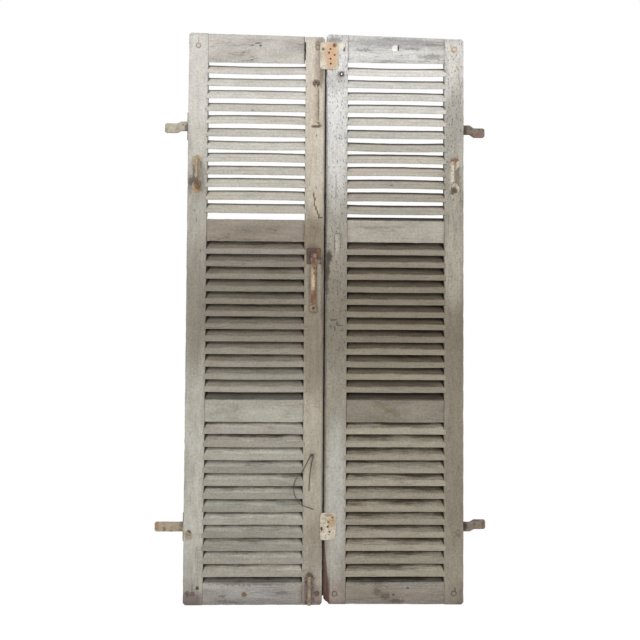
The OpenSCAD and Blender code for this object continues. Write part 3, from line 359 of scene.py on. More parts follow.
def put(tree, kind, links=(), out=0, stops=(), **settings):
    """Adds a node with its settings, inputs and colour stops.

    Returns the output called out, or the node itself where out is None.
    """
    made = tree.nodes.new(kind)
    for key, value in settings.items():
        setattr(made, key, value)
    feed(tree, made, links)
    for i, (at, colour) in enumerate(stops):
        ramp = made.color_ramp.elements
        stop = ramp[i] if i < 2 else ramp.new(at)
        stop.position, stop.color = at, colour
    return made if out is None else made.outputs[out]


def colour_prop(name, description, hex_colour):
    """A colour that the user may change."""
    return FloatVectorProperty(name=name, description=description, subtype="COLOR", size=4,
                               min=0.0, max=1.0, default=linear(hex_colour))


def length_prop(name, description, mm):
    """A length that the user may change, with its default in mm."""
    return FloatProperty(name=name, description=description, default=mm * MM, min=0.0,
                         unit="LENGTH")


class ShutterSizes(bpy.types.PropertyGroup):
    """Sizes of the wear on boards, slats and ironwork."""

    arris: length_prop("Arris", "Rounding of the boards' long edges", 1.7)
    nibble: length_prop("Nibbled edge", "Depth of the chips along those edges", 1.3)
    slat_round: length_prop("Slat edge", "Rounding of the slats' edges", 0.6)
    upper_round: length_prop(
        "Upper slat edge", "Rounding of the upper slats, which the rain reaches most", 2.3)
    slat_bow: length_prop("Slat bow", "Most that a slat bows at its middle", 1.2)
    upper_bow: length_prop("Upper slat bow", "Most that an upper slat bows at its middle", 3.0)
    slat_tilt: FloatProperty(name="Slat tilt", description="Most that a slat is out of true",
                             default=math.radians(0.9), min=0.0, subtype="ANGLE")
    dent: length_prop("Hammer dents", "Depth of the dents in the ironwork", 0.7)
    seed: IntProperty(name="Seed", description="Start of everything random", default=7)


class ShutterColours(bpy.types.PropertyGroup):
    """Paint from head to foot of each leaf, and what shows through it."""

    left_head: colour_prop("Left head", "Chalked paint at the left leaf's top", "#c8c5bf")
    left_shoulder: colour_prop("Left shoulder", "Paint at the left handle", "#bdbab2")
    left_middle: colour_prop("Left middle", "Dirty paint half way up", "#8f897d")
    left_lower: colour_prop("Left lower", "Paint above the left foot", "#b7b4aa")
    left_foot: colour_prop("Left foot", "Paint at the sill", "#978f86")
    right_head: colour_prop("Right head", "Chalked paint at the right leaf's top", "#d2d0cc")
    right_shoulder: colour_prop("Right shoulder", "Paint at the right handle", "#b8b4ab")
    right_middle: colour_prop("Right middle", "Dirty paint half way up", "#857e70")
    right_lower: colour_prop("Right lower", "Paint above the right foot", "#989284")
    right_foot: colour_prop("Right foot", "Paint at the sill", "#8b8178")
    bare_wood: colour_prop("Bare wood", "Silvered softwood", "#8d8a86")
    rotted_wood: colour_prop("Rotted wood", "Soft brown wood at the broken foot", "#5d463f")
    wood_pit: colour_prop("Pits", "Black specks and checks in the grain", "#38332e")
    grime: colour_prop("Grime", "Soot and dust held by the paint", "#6f675a")
    cream: colour_prop("Cream paint", "Paint left on the ironwork", "#d8cfbc")
    rust: colour_prop("Rust", "Dry rust", "#8a5b3a")
    dark_iron: colour_prop("Dark iron", "Bare old iron", "#453a33")


def tones(leaf):
    """The leaf's paint from sill to head, as ramp stops."""
    c = bpy.context.scene.shutter_colours
    foot, lower, middle, shoulder, head = (
        tuple(getattr(c, f"{leaf}_{part}"))
        for part in ("foot", "lower", "middle", "shoulder", "head"))
    return ((0.0, foot), (1.0, head), (0.05, lower), (0.33, lower), (0.46, middle),
            (0.56, middle), (0.80, shoulder), (0.90, head))


def new_finish(name):
    """An empty material with its shader, and its Object coordinates."""
    finish = bpy.data.materials.new(name)
    finish.use_nodes = True
    tree = finish.node_tree
    shader = tree.nodes["Principled BSDF"]
    return finish, tree, shader, put(tree, "ShaderNodeTexCoord", out="Object")


def add_marks(tree, colour, where, marks, deep=25.0):
    """Lays stains, and some painted shadows and highlights, with ragged edges over a colour, no
    further than deep (mm) from the front.
    """
    if not marks:
        return colour
    add = partial(put, tree)
    # The edges are ragged in bays of about 11 mm, nine to 100 mm.
    ragged = add(NOISE, {"Vector": where, "Scale": 9 / (100 * MM), "Detail": 4.0,
                         "Roughness": 0.7}, "Color")
    shift = add(VECTOR, (ragged, (0.5, 0.5, 0.5)), operation="SUBTRACT")
    # A wide stain strays by up to 17 mm, a small mark only by 4, so that it keeps its shape.
    strayed, near = (add(VECTOR, (shift, stray, where), operation="MULTIPLY_ADD")
                     for stray in ((0.022, 0.0, 0.034), (0.006, 0.0, 0.008)))
    for x, z, half_w, half_h, mark, strength in marks:
        small = max(half_w, half_h) <= 14 or min(half_w, half_h) <= 4
        unit = add(MAPPING, {
            "Vector": near if small else strayed,
            "Scale": (1 / (half_w * MM), 1 / (deep * MM), 1 / (half_h * MM)),
            "Location": (-x / half_w, 0.0, -z / half_h)})
        away = add(VECTOR, (unit,), "Value", operation="LENGTH")
        cover = add(SPREAD, {"Value": away, "From Min": 1.15, "From Max": 0.75 if small else 0.45,
                             "To Max": strength}, interpolation_type="SMOOTHSTEP")
        colour = add(MIX, {0: cover, 6: colour, 7: linear(mark)}, 2, data_type="RGBA")
    return colour


def slat_dirt_and_shade(tree, part, grain, patch, colour, shade, depth, opening, corners, smeared):
    """Paints shade on the slats towards the back and into their corners, and sets each a little
    apart.

    The shade at the back, under the slat above, and in the corners by the stiles is painted shade;
    where a stop is over 1 the sloping face gets painted light. Grime in patches and streaks comes
    on top. depth holds the stops from front to back edge. opening is the middle and half width of
    the louvre opening and corners how far the painted corner shade reaches from its sides, in mm.
    smeared says how far the streaks from the back edge run forward.
    """
    add = partial(put, tree)
    own = add(ATTRIBUTE, out="Fac", attribute_name="slat")
    differs = add(MATH, (own, 0.24, 0.88), operation="MULTIPLY_ADD")
    inward = add(SPREAD, {"Value": part["Y"], "From Max": LEAF_DEPTH})

    # Soot runs forward from the back edge in ragged streaks about 6 mm wide: they darken the face
    # and carry the painted shade forward. Soot is browner than the paint, so the colour is cast
    # browner where the painted shade is deep.
    soot_and_shade_streaks = add(NOISE, {"Vector": grain, "Scale": 1 / (6 * MM), "Detail": 5.0, "Roughness": 0.7})
    soot_and_shade_streaks = add(MATH, (soot_and_shade_streaks, patch), operation="ADD")
    smear = add(MATH, (soot_and_shade_streaks, smeared, 1.0 - smeared), operation="MULTIPLY_ADD")
    face = add(SPREAD, {"Value": inward, "From Min": 0.06, "From Max": 0.2,
                        "To Max": 0.6 * smeared})
    ragged = add(MATH, (1.0, soot_and_shade_streaks), operation="SUBTRACT")
    ragged = add(MATH, (ragged, face, 1.0), operation="MULTIPLY_ADD")
    ragged = add(MATH, (ragged, 0.3), operation="MAXIMUM")
    shade_depth = add(MATH, (inward, smear), operation="MULTIPLY")
    # deep is painted shade at the back of each slat, under the slat above, and painted light on
    # its sloping face where a stop is over 1.
    deep = add(RAMP, (shade_depth,), stops=[(at, (grey, grey, grey, 1.0)) for at, grey in depth])
    shaded_share = add(SPREAD, {"Value": deep, "From Min": 0.8, "From Max": 0.3})
    soot_in_shade = add(MIX, {0: shaded_share, 6: WHITE, 7: (1.08, 0.97, 0.85, 1.0)}, 2, data_type="RGBA")
    patchy = add(MATH, (patch, 0.9, 0.55), operation="MULTIPLY_ADD")

    # Painted shade fills the corner between slat and stile, widening towards the back.
    middle, half = opening
    off = add(MATH, (part["X"], middle * MM), operation="SUBTRACT")
    off = add(MATH, (off,), operation="ABSOLUTE")
    from_end = add(MATH, (half * MM, off), operation="SUBTRACT")
    reach = add(MATH, (inward, 1.1 * corners * MM, -1.5 * MM), operation="MULTIPLY_ADD")
    reach = add(MATH, (reach, 0.2 * MM), operation="MAXIMUM")
    corner = add(MATH, (from_end, reach), operation="DIVIDE")
    corner = add(SPREAD, {"Value": corner, "From Min": 0.45, "From Max": 1.05, "To Min": 0.26})
    housed = add(MATH, (from_end, 0.0), operation="LESS_THAN")
    corner = add(MATH, (corner, housed), operation="MAXIMUM")

    warm = add(MATH, (own, 13.3), operation="MULTIPLY")
    warm = add(MATH, (warm,), operation="FRACT")
    hue = add(MIX, {0: warm, 6: (0.99, 1.003, 0.985, 1.0), 7: (1.022, 0.993, 0.975, 1.0)}, 2,
              data_type="RGBA")
    for darker in (ragged, differs, deep, patchy, corner):
        shade = add(MATH, (shade, darker), operation="MULTIPLY")
    for cast in (soot_in_shade, hue):
        colour = add(VECTOR, (colour, cast), operation="MULTIPLY")
    return colour, shade


def weathered_paint(name, along, stops, seed, bare=0.0, specks=0.12, fleck=7.0, pits=0.25,
                    pit_span=(0.5, 0.8), dirt_and_shade=None, tint=(1.0, 1.0, 1.0), marks=()):
    """Oil paint brushed on softwood and left outdoors.

    To the eye it is matt and chalky: streaked along the grain, grimy in soft patches, split by
    hairline checks, and flaked to silver-grey fibre where it has worn through.

    stops give the paint from sill to head, and bare says how far it has worn through. Pits
    stand about fleck mm apart, in the share specks of those places. They darken from pits to
    full strength over pit_span, which is given as shares of the height.
    """
    c = bpy.context.scene.shutter_colours
    finish, tree, shader, where = new_finish(name)
    add = partial(put, tree)
    part = add("ShaderNodeSeparateXYZ", (where,), None).outputs
    fibrous = bare > WORN_THROUGH
    grain, flake = (
        add(MAPPING, {"Vector": where, "Location": (seed * 1.31, seed * 0.77, seed * 2.03),
                      "Scale": (drawn, 1.0, 1.0) if along == "X" else (1.0, 1.0, drawn)})
        for drawn in (0.08, 0.12 if fibrous else 0.4))

    height = add(SPREAD, {"Value": part["Z"], "From Max": LEAF_HEIGHT})
    colour = add(RAMP, (height,), stops=stops)

    # Real fibres are under 1 mm wide; they are drawn 4 mm wide so that they show.
    fibre = add(NOISE, {"Vector": grain, "Scale": 1 / (4 * MM), "Detail": 3.0})
    # Brush streaks and early wood bands about 14 mm wide.
    streak = add(NOISE, {"Vector": grain, "Scale": 1 / (14 * MM), "Detail": 4.0, "Roughness": 0.6})
    # Grime lies in patches about 70 mm across.
    patch = add(NOISE, {"Vector": flake, "Scale": 1 / (70 * MM), "Detail": 6.0, "Roughness": 0.62})
    soiled = add(SPREAD, {"Value": patch, "From Min": 0.46, "From Max": 0.72, "To Max": 0.42})
    colour = add(MIX, {0: soiled, 6: colour, 7: tuple(c.grime)}, 2, data_type="RGBA")
    # Chalking mottles the paint: soft spots 22 mm across and grains of 7 mm, drifting between
    # cream and lilac.
    mottle = add(NOISE, {"Vector": flake, "Scale": 1 / (22 * MM), "Detail": 4.0,
                         "Roughness": 0.62}, None).outputs
    grains = add(NOISE, {"Vector": where, "Scale": 1 / (7 * MM), "Detail": 3.0, "Roughness": 0.65})
    cream = add("ShaderNodeSeparateColor", (mottle["Color"],), "Blue")
    cream = add(SPREAD, {"Value": cream, "From Min": 0.35, "From Max": 0.65})
    drift = add(MIX, {0: cream, 6: (0.99, 0.99, 1.02, 1.0), 7: (1.015, 1.0, 0.965, 1.0)}, 2,
                data_type="RGBA")
    drift = add(VECTOR, (drift, tint), operation="MULTIPLY")
    colour = add(VECTOR, (colour, drift), operation="MULTIPLY")

    banding = add(MATH, (streak, 0.26, 0.87), operation="MULTIPLY_ADD")
    spots = add(MATH, (mottle["Fac"], 0.44, 0.78), operation="MULTIPLY_ADD")
    banding = add(MATH, (banding, spots), operation="MULTIPLY")
    raised = 0.7 if fibrous else 0.26
    fine = add(MATH, (fibre, raised, 1.0 - raised / 2), operation="MULTIPLY_ADD")
    gritty = add(MATH, (grains, 0.9, 0.55), operation="MULTIPLY_ADD")
    fine = add(MATH, (fine, gritty), operation="MULTIPLY")
    shade = add(MATH, (banding, fine), operation="MULTIPLY")
    # Slats get grime, painted shade at the back and in their corners, and painted light on their
    # sloping faces.
    if dirt_and_shade:
        colour, shade = slat_dirt_and_shade(tree, part, grain, patch, colour, shade, **dirt_and_shade)
    colour = add_marks(tree, colour, where, marks)
    colour = add(VECTOR, {0: colour, "Scale": shade}, operation="SCALE")

    # Paint has flaked off in long patches about 26 mm across; the arrises go first.
    arris = add(ATTRIBUTE, out="Fac", attribute_name="arris")
    loss = add(NOISE, {"Vector": flake, "Scale": 1 / (26 * MM), "Detail": 7.0, "Roughness": 0.68})
    loss = add(MATH, (arris, 0.16, loss), operation="MULTIPLY_ADD")
    torn = 0.5 if fibrous else 0.0
    loss = add(MATH, (fibre, torn, loss), operation="MULTIPLY_ADD")
    start = 0.70 - bare + 0.5 * torn
    lost = add(SPREAD, {"Value": loss, "From Min": start, "From Max": start + 0.05,
                        "To Max": 0.85})
    silver = tuple(c.bare_wood)[:3]
    for scale in (banding, fine):
        silver = add(VECTOR, {0: silver, "Scale": scale}, operation="SCALE")
    colour = add(MIX, {0: lost, 6: colour, 7: silver}, 2, data_type="RGBA")

    # Checks: hairlines along the grain, drawn about 1 mm wide so that they show.
    check = add(NOISE, {"Vector": grain, "Scale": 1 / (24 * MM), "Detail": 2.0})
    check = add(RAMP, (check,), stops=((0.484, BLACK), (0.516, BLACK), (0.5, WHITE)))
    gate = add(SPREAD, {"Value": patch, "From Min": 0.40, "From Max": 0.60,
                        "To Max": 0.55 if bare else 0.3})
    check = add(MATH, (check, gate), operation="MULTIPLY")
    colour = add(MIX, {0: check, 6: colour, 7: tuple(c.wood_pit)}, 2, data_type="RGBA")

    # Pits: dark flecks about 3 mm wide, drawn out along the grain, and darkest near the top,
    # where the paint is chalkiest.
    cells = add("ShaderNodeTexVoronoi", {"Vector": flake, "Scale": 1 / (fleck * MM)}, None).outputs
    most = add(SPREAD, {"Value": height, "From Min": pit_span[0], "From Max": pit_span[1],
                        "To Min": pits, "To Max": 0.72})
    speck = add(SPREAD, {"Value": cells["Distance"], "From Min": 0.42, "From Max": 0.16,
                         "To Max": most})
    few = add(MATH, (cells["Color"], 1.0 - specks), operation="GREATER_THAN")
    speck = add(MATH, (speck, few), operation="MULTIPLY")
    colour = add(MIX, {0: speck, 6: colour, 7: tuple(c.wood_pit)}, 2, data_type="RGBA")
    # Where the arris has rotted away the wood is brown and soft.
    rotted = add(ATTRIBUTE, out="Fac", attribute_name="rot")
    rotted = add(MATH, (rotted, 0.92), operation="MULTIPLY")
    brown = add(VECTOR, {0: tuple(c.rotted_wood)[:3], "Scale": shade}, operation="SCALE")
    colour = add(MIX, {0: rotted, 6: colour, 7: brown}, 2, data_type="RGBA")

    relief = add(MATH, (fibre, 0.35, streak), operation="MULTIPLY_ADD")
    for dip, much in ((check, -1.2), (lost, -0.5)):
        relief = add(MATH, (dip, much, relief), operation="MULTIPLY_ADD")
    feed(tree, shader, {
        "Base Color": colour, "Specular IOR Level": 0.25,
        "Roughness": add(SPREAD, {"Value": patch, "From Min": 0.3, "From Max": 0.7,
                                  "To Min": 0.68, "To Max": 0.92}),
        "Normal": add("ShaderNodeBump", {"Height": relief, "Strength": 0.55,
                                         "Distance": 0.9 * MM})})
    return finish


def old_iron(name, seed, painted=0.5, rusted=0.5, paint=None, marks=(), pitted=0.0):
    """Hand-forged wrought iron, once painted with the woodwork.

    To the eye it is dull and mottled: flakes of cream paint over dry orange-brown rust, with dark
    scale where hands and weather have rubbed it.

    painted, rusted and pitted say how much paint, rust and rust spots there are, from 0 to 1.
    """
    c = bpy.context.scene.shutter_colours
    finish, tree, shader, where = new_finish(name)
    add = partial(put, tree)
    moved = add(MAPPING, {"Vector": where, "Location": (seed * 0.91, seed * 1.7, seed * 0.37)})
    # Rust blooms about 14 mm across, paint flakes about 18 mm, grit about 2.5 mm.
    bloom = add(NOISE, {"Vector": moved, "Scale": 1 / (14 * MM), "Detail": 6.0, "Roughness": 0.65})
    flaking = add(NOISE, {"Vector": moved, "Scale": 1 / (18 * MM), "Detail": 7.0, "Roughness": 0.7,
                          "Distortion": 0.4}, "Color")
    flaking = add("ShaderNodeSeparateColor", (flaking,), "Green")
    grit = add(NOISE, {"Vector": moved, "Scale": 1 / (2.5 * MM), "Detail": 3.0})
    rusty = add(SPREAD, {"Value": bloom, "From Min": 0.72 - 0.45 * rusted,
                         "From Max": 0.84 - 0.45 * rusted})
    colour = add(MIX, {0: rusty, 6: tuple(c.dark_iron), 7: tuple(c.rust)}, 2, data_type="RGBA")
    kept = add(SPREAD, {"Value": flaking, "From Min": 0.70 - 0.40 * painted,
                        "From Max": 0.75 - 0.40 * painted, "To Max": 0.94})
    soiled = add(SPREAD, {"Value": bloom, "From Min": 0.35, "From Max": 0.7, "To Max": 0.45})
    coat = add(MIX, {0: soiled, 6: linear(paint) if paint else tuple(c.cream), 7: tuple(c.grime)},
               2, data_type="RGBA")
    colour = add(MIX, {0: kept, 6: colour, 7: coat}, 2, data_type="RGBA")
    grain = add(MATH, (grit, 0.5, 0.75), operation="MULTIPLY_ADD")
    colour = add_marks(tree, colour, where, marks, deep=150.0)
    colour = add(VECTOR, {0: colour, "Scale": grain}, operation="SCALE")
    if pitted:
        # Rust spots 2 to 4 mm across break through the paint.
        cells = add("ShaderNodeTexVoronoi", {"Vector": moved, "Scale": 1 / (4.5 * MM)},
                    None).outputs
        spot = add(SPREAD, {"Value": cells["Distance"], "From Min": 0.46, "From Max": 0.2,
                            "To Max": 0.8})
        some = add(MATH, (cells["Color"], 1.0 - pitted), operation="GREATER_THAN")
        spot = add(MATH, (spot, some), operation="MULTIPLY")
        colour = add(MIX, {0: spot, 6: colour, 7: linear("#54422f")}, 2, data_type="RGBA")
    relief = add(MATH, (kept, 0.6, grit), operation="MULTIPLY_ADD")
    feed(tree, shader, {
        "Base Color": colour, "Specular IOR Level": 0.4,
        "Roughness": add(SPREAD, {"Value": bloom, "From Min": 0.3, "From Max": 0.7,
                                  "To Min": 0.5, "To Max": 0.85}),
        "Normal": add("ShaderNodeBump", {"Height": relief, "Strength": 0.5,
                                         "Distance": 0.5 * MM})})
    return finish


def peg_oak(name, seed, marks):
    """Riven hardwood pegs cut off near the face.

    To the eye they are dry end grain, each stained its own way by what ran over it.
    """
    finish, tree, shader, where = new_finish(name)
    add = partial(put, tree)
    moved = add(MAPPING, {"Vector": where, "Location": (seed, seed * 0.3, seed * 1.9)})
    # End grain, drawn 1.5 mm coarse so that it shows.
    grain = add(NOISE, {"Vector": moved, "Scale": 1 / (1.5 * MM), "Detail": 4.0})
    colour = add(RAMP, (grain,), stops=((0.3, linear("#8f857a")), (0.7, linear("#b5aca1"))))
    feed(tree, shader, {
        "Base Color": add_marks(tree, colour, where, marks), "Roughness": 0.8,
        "Specular IOR Level": 0.25,
        "Normal": add("ShaderNodeBump", {"Height": grain, "Strength": 0.5,
                                         "Distance": 0.4 * MM})})
    return finish


def merged_copy(node):
    """A CAD node's mesh with its loose triangles joined."""
    bm = bmesh.new()
    bm.from_mesh(frame["nodes"][node].data)
    bmesh.ops.remove_doubles(bm, verts=bm.verts, dist=WELD)
    return bm


def smoothed(mesh, crease):
    """The mesh shaded smooth, with its sharp edges kept."""
    mesh.shade_smooth()
    mesh.set_sharp_from_angle(angle=crease)
    return mesh


def place(node, mesh, finish, slot):
    """Makes the mesh a piece that stands for a CAD node and rides on the node's body."""
    mesh.materials.clear()
    mesh.materials.append(finish)
    piece = bpy.data.objects.new(f"{node}_dressed", mesh)
    bpy.context.scene.collection.objects.link(piece)
    holder = frame["nodes"][node].parent
    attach(piece, next(name for name, empty in frame["bodies"].items() if empty == holder))
    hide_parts(node)


def plain_mesh(holder):
    """The evaluated mesh of a helper object, which is then removed."""
    depsgraph = bpy.context.evaluated_depsgraph_get()
    mesh = bpy.data.meshes.new_from_object(holder.evaluated_get(depsgraph))
    bpy.data.objects.remove(holder)
    return mesh


def worn_board(node, along, sizes, seed):
    """A board with rounded long edges, nibbled by wear, in slices along its length."""
    bm = merged_copy(node)
    bmesh.ops.dissolve_limit(bm, angle_limit=math.radians(0.4), verts=bm.verts[:],
                             edges=bm.edges[:])
    axis = "XYZ".index(along)
    across = 2 - axis
    lo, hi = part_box(node)

    def on_face(vert):
        return min(abs(vert.co.y - lo.y), abs(vert.co.y - hi.y)) < TOUCH

    layer = bm.faces.layers.float.new("arris")
    rot = bm.faces.layers.float.new("rot")
    # Only a rotted strip slants to the left and to the front at once.
    for face in bm.faces:
        if face.normal.x < -0.3 and face.normal.y < -0.5:
            face[rot] = 1.0
    arrises = []
    for edge in bm.edges:
        a, b = edge.verts
        run = b.co - a.co
        if (len(edge.link_faces) == 2 and edge.calc_face_angle(0.0) > ARRIS_TURN
                and on_face(a) and on_face(b)
                and abs(run[axis]) > ARRIS_TRUE * run.length and run.length > ARRIS_LEAST):
            arrises.append(edge)
    made = bmesh.ops.bevel(bm, geom=arrises, offset=sizes.arris, segments=2, profile=0.5,
                           affect="EDGES", clamp_overlap=True)
    for face in made["faces"]:
        face[layer] = 1.0
    cut = lo[axis] + SLICE
    while cut < hi[axis] - 0.5 * SLICE:
        at, normal = Vector(), Vector()
        at[axis], normal[axis] = cut, 1.0
        bmesh.ops.bisect_plane(bm, geom=bm.verts[:] + bm.edges[:] + bm.faces[:], plane_co=at,
                               plane_no=normal, dist=1e-6)
        uneven = 0.5 + 0.5 * noise.noise(Vector((cut * 91.0, seed, 0.3)))
        cut += SLICE * (0.7 + 0.6 * uneven)
    reach = 1.6 * sizes.arris
    for vert in bm.verts:
        side = min((vert.co[across] - lo[across], 1.0), (hi[across] - vert.co[across], -1.0))
        face = min((vert.co.y - lo.y, 1.0), (hi.y - vert.co.y, -1.0))
        if side[0] < reach and face[0] < reach:
            chip = noise.fractal(vert.co * CHIPS + Vector((seed, 0.0, 0.0)), 0.8, 2.1, 4)
            bite = sizes.nibble * max(0.0, chip + 0.12)
            vert.co[across] += side[1] * bite
            vert.co.y += face[1] * bite
    bmesh.ops.triangulate(bm, faces=[f for f in bm.faces if len(f.verts) > 4])
    mesh = bpy.data.meshes.new(node)
    bm.to_mesh(mesh)
    bm.free()
    return smoothed(mesh, BOARD_CREASE)


def forged_copy(node, voxel, dent, seed, smooth=4):
    """Iron with soft edges and hammered, corroded faces."""
    bm = merged_copy(node)
    mesh = bpy.data.meshes.new(node)
    bm.to_mesh(mesh)
    bm.free()
    holder = bpy.data.objects.new(node + "_blank", mesh)
    bpy.context.scene.collection.objects.link(holder)
    remesh = holder.modifiers.new("scale", "REMESH")
    remesh.mode, remesh.voxel_size, remesh.use_smooth_shade = "VOXEL", voxel, True
    soften = holder.modifiers.new("worn edges", "SMOOTH")
    soften.factor, soften.iterations = 0.5, smooth
    mesh = plain_mesh(holder)
    normals = [v.normal.copy() for v in mesh.vertices]
    for vert, normal in zip(mesh.vertices, normals):
        spot = vert.co + Vector((seed, seed * 0.7, 0.0))
        hammered = 0.7 * noise.noise(spot * HAMMER) + 0.3 * noise.noise(spot * PITTING)
        vert.co += normal * dent * hammered
    mesh.shade_smooth()
    return mesh


def new_tree(name, inputs):
    """An empty Geometry Nodes tree with named inputs, and its input sockets."""
    tree = bpy.data.node_groups.new(name, "GeometryNodeTree")
    for label, kind in (("Geometry", "Geometry"), *inputs):
        tree.interface.new_socket(name=label, in_out="INPUT", socket_type="NodeSocket" + kind)
    tree.interface.new_socket(name="Geometry", in_out="OUTPUT",
                              socket_type="NodeSocketGeometry")
    return tree, put(tree, "NodeGroupInput", out=None).outputs


def grow(tree, base, values):
    """Runs a tree on a base mesh and returns the result as a plain mesh, facing outwards."""
    holder = bpy.data.objects.new(tree.name + "_holder", base)
    bpy.context.scene.collection.objects.link(holder)
    run = holder.modifiers.new(tree.name, "NODES")
    run.node_group = tree
    for item in tree.interface.items_tree:
        if item.in_out == "INPUT" and item.name in values:
            run[item.identifier] = values[item.name]
    mesh = plain_mesh(holder)
    bm = bmesh.new()
    bm.from_mesh(mesh)
    if bm.calc_volume(signed=True) < 0:
        bmesh.ops.reverse_faces(bm, faces=bm.faces)
    bm.to_mesh(mesh)
    bm.free()
    return mesh


def slat_tree():
    """A panel of louvre slats: one swept slat, repeated, each bowed and tilted its own way."""
    tree, given = new_tree("slat_panel", (
        *((label, "Float") for label in ("Left End", "Length", "First Height", "Pitch")),
        ("Count", "Int"),
        *((label, "Float") for label in ("Depth", "Rise", "Edge", "Rounding", "Bow", "Tilt")),
        ("Closing", "Bool"), ("Floor", "Float"), ("Seed", "Int"), ("Finish", "Material"),
        *((f"Wedge {i}", "Vector") for i in (1, 2, 3, 4))))
    add = partial(put, tree)

    def swept(corners):
        """A closed bar of the given profile along the slat's length."""
        run = add(COMBINE, {"X": given["Length"]})
        line = add("GeometryNodeCurvePrimitiveLine", {"End": run})
        line = add("GeometryNodeResampleCurve", {"Curve": line, "Count": SLAT_STATIONS})
        section = add("GeometryNodeCurvePrimitiveQuadrilateral", corners, mode="POINTS")
        worn = add("GeometryNodeFilletCurve", {
            "Curve": section, "Count": 4, "Radius": given["Rounding"], "Limit Radius": True},
            mode="POLY")
        return add("GeometryNodeCurveToMesh", {
            "Curve": line, "Profile Curve": worn, "Fill Caps": True})

    # A profile point (y, z) is written (-y, -z), because the sweep turns it half a turn.
    back, rise, edge, tilt_low = (
        add(MATH, (given[label], -1.0), operation="MULTIPLY")
        for label in ("Depth", "Rise", "Edge", "Tilt"))
    top = add(MATH, (rise, edge), operation="ADD")
    slat = swept({
        "Point 1": (0.0, 0.0, 0.0), "Point 2": add(COMBINE, {"X": back, "Y": rise}),
        "Point 3": add(COMBINE, {"X": back, "Y": top}), "Point 4": add(COMBINE, {"Y": edge})})
    start = add(COMBINE, {"X": given["Left End"], "Z": given["First Height"]})
    step = add(COMBINE, {"Z": given["Pitch"]})
    rows = add("GeometryNodeMeshLine", {
        "Count": given["Count"], "Start Location": start, "Offset": step}, mode="OFFSET")
    lean = add("FunctionNodeRandomValue", {2: tilt_low, 3: given["Tilt"], "Seed": given["Seed"]},
               1, data_type="FLOAT")
    panel = add("GeometryNodeInstanceOnPoints", {
        "Points": rows, "Instance": slat, "Rotation": add(COMBINE, {"X": lean})})
    own = add("FunctionNodeRandomValue", {2: 0.0, 3: 1.0, "Seed": given["Seed"]}, 1,
              data_type="FLOAT")
    panel = add("GeometryNodeStoreNamedAttribute", {
        "Geometry": panel, "Name": "slat", "Value": own}, data_type="FLOAT", domain="INSTANCE")
    panel = add("GeometryNodeRealizeInstances", {"Geometry": panel})

    # The lowest slat of a whole panel is cut to a wedge by the rail under it.
    wedge = swept({f"Point {i}": given[f"Wedge {i}"] for i in (1, 2, 3, 4)})
    seat = add(COMBINE, {"X": given["Left End"], "Z": given["Floor"]})
    wedge = add("GeometryNodeTransform", {"Geometry": wedge, "Translation": seat})
    wedge = add("GeometryNodeStoreNamedAttribute", {
        "Geometry": wedge, "Name": "slat", "Value": CLOSING_TONE},
        data_type="FLOAT", domain="POINT")
    closing = add("GeometryNodeSwitch", {"Switch": given["Closing"], "True": wedge},
                  input_type="GEOMETRY")

    # The bow is nothing at the housed ends and greatest at the middle, where the hump is 1/4.
    # It goes from -1.15 to 0.85 of the given bow.
    here = add("GeometryNodeInputPosition")
    here_x = add("ShaderNodeSeparateXYZ", (here,), "X")
    along = add(MATH, (here_x, given["Left End"]), operation="SUBTRACT")
    along = add(MATH, (along, given["Length"]), operation="DIVIDE")
    rest = add(MATH, (1.0, along), operation="SUBTRACT")
    hump = add(MATH, (along, rest), operation="MULTIPLY")
    mixed = add("GeometryNodeInputNamedAttribute", {"Name": "slat"}, data_type="FLOAT")
    mixed = add(MATH, (mixed, 37.7), operation="MULTIPLY")
    mixed = add(MATH, (mixed,), operation="FRACT")
    signed = add(MATH, (mixed, 8.0, -4.6), operation="MULTIPLY_ADD")
    bow = add(MATH, (hump, signed), operation="MULTIPLY")
    bow = add(MATH, (bow, given["Bow"]), operation="MULTIPLY")
    # Nicks and swellings stand up to 0.8 mm off the true edge.
    nick = add(NOISE, {"Scale": NICKS, "Detail": 3.0})
    nick = add(MATH, (nick, 1.6 * MM, -0.8 * MM), operation="MULTIPLY_ADD")
    sag = add(MATH, (bow, nick), operation="ADD")
    panel = add("GeometryNodeSetPosition", {
        "Geometry": panel, "Offset": add(COMBINE, {"Z": sag})})
    both = add("GeometryNodeJoinGeometry", {"Geometry": panel}, None)
    tree.links.new(closing, both.inputs["Geometry"])
    whole = add("GeometryNodeRealizeInstances", {"Geometry": both.outputs[0]})
    whole = add("GeometryNodeSetMaterial", {"Geometry": whole, "Material": given["Finish"]})
    add("NodeGroupOutput", (whole,), None)
    return tree


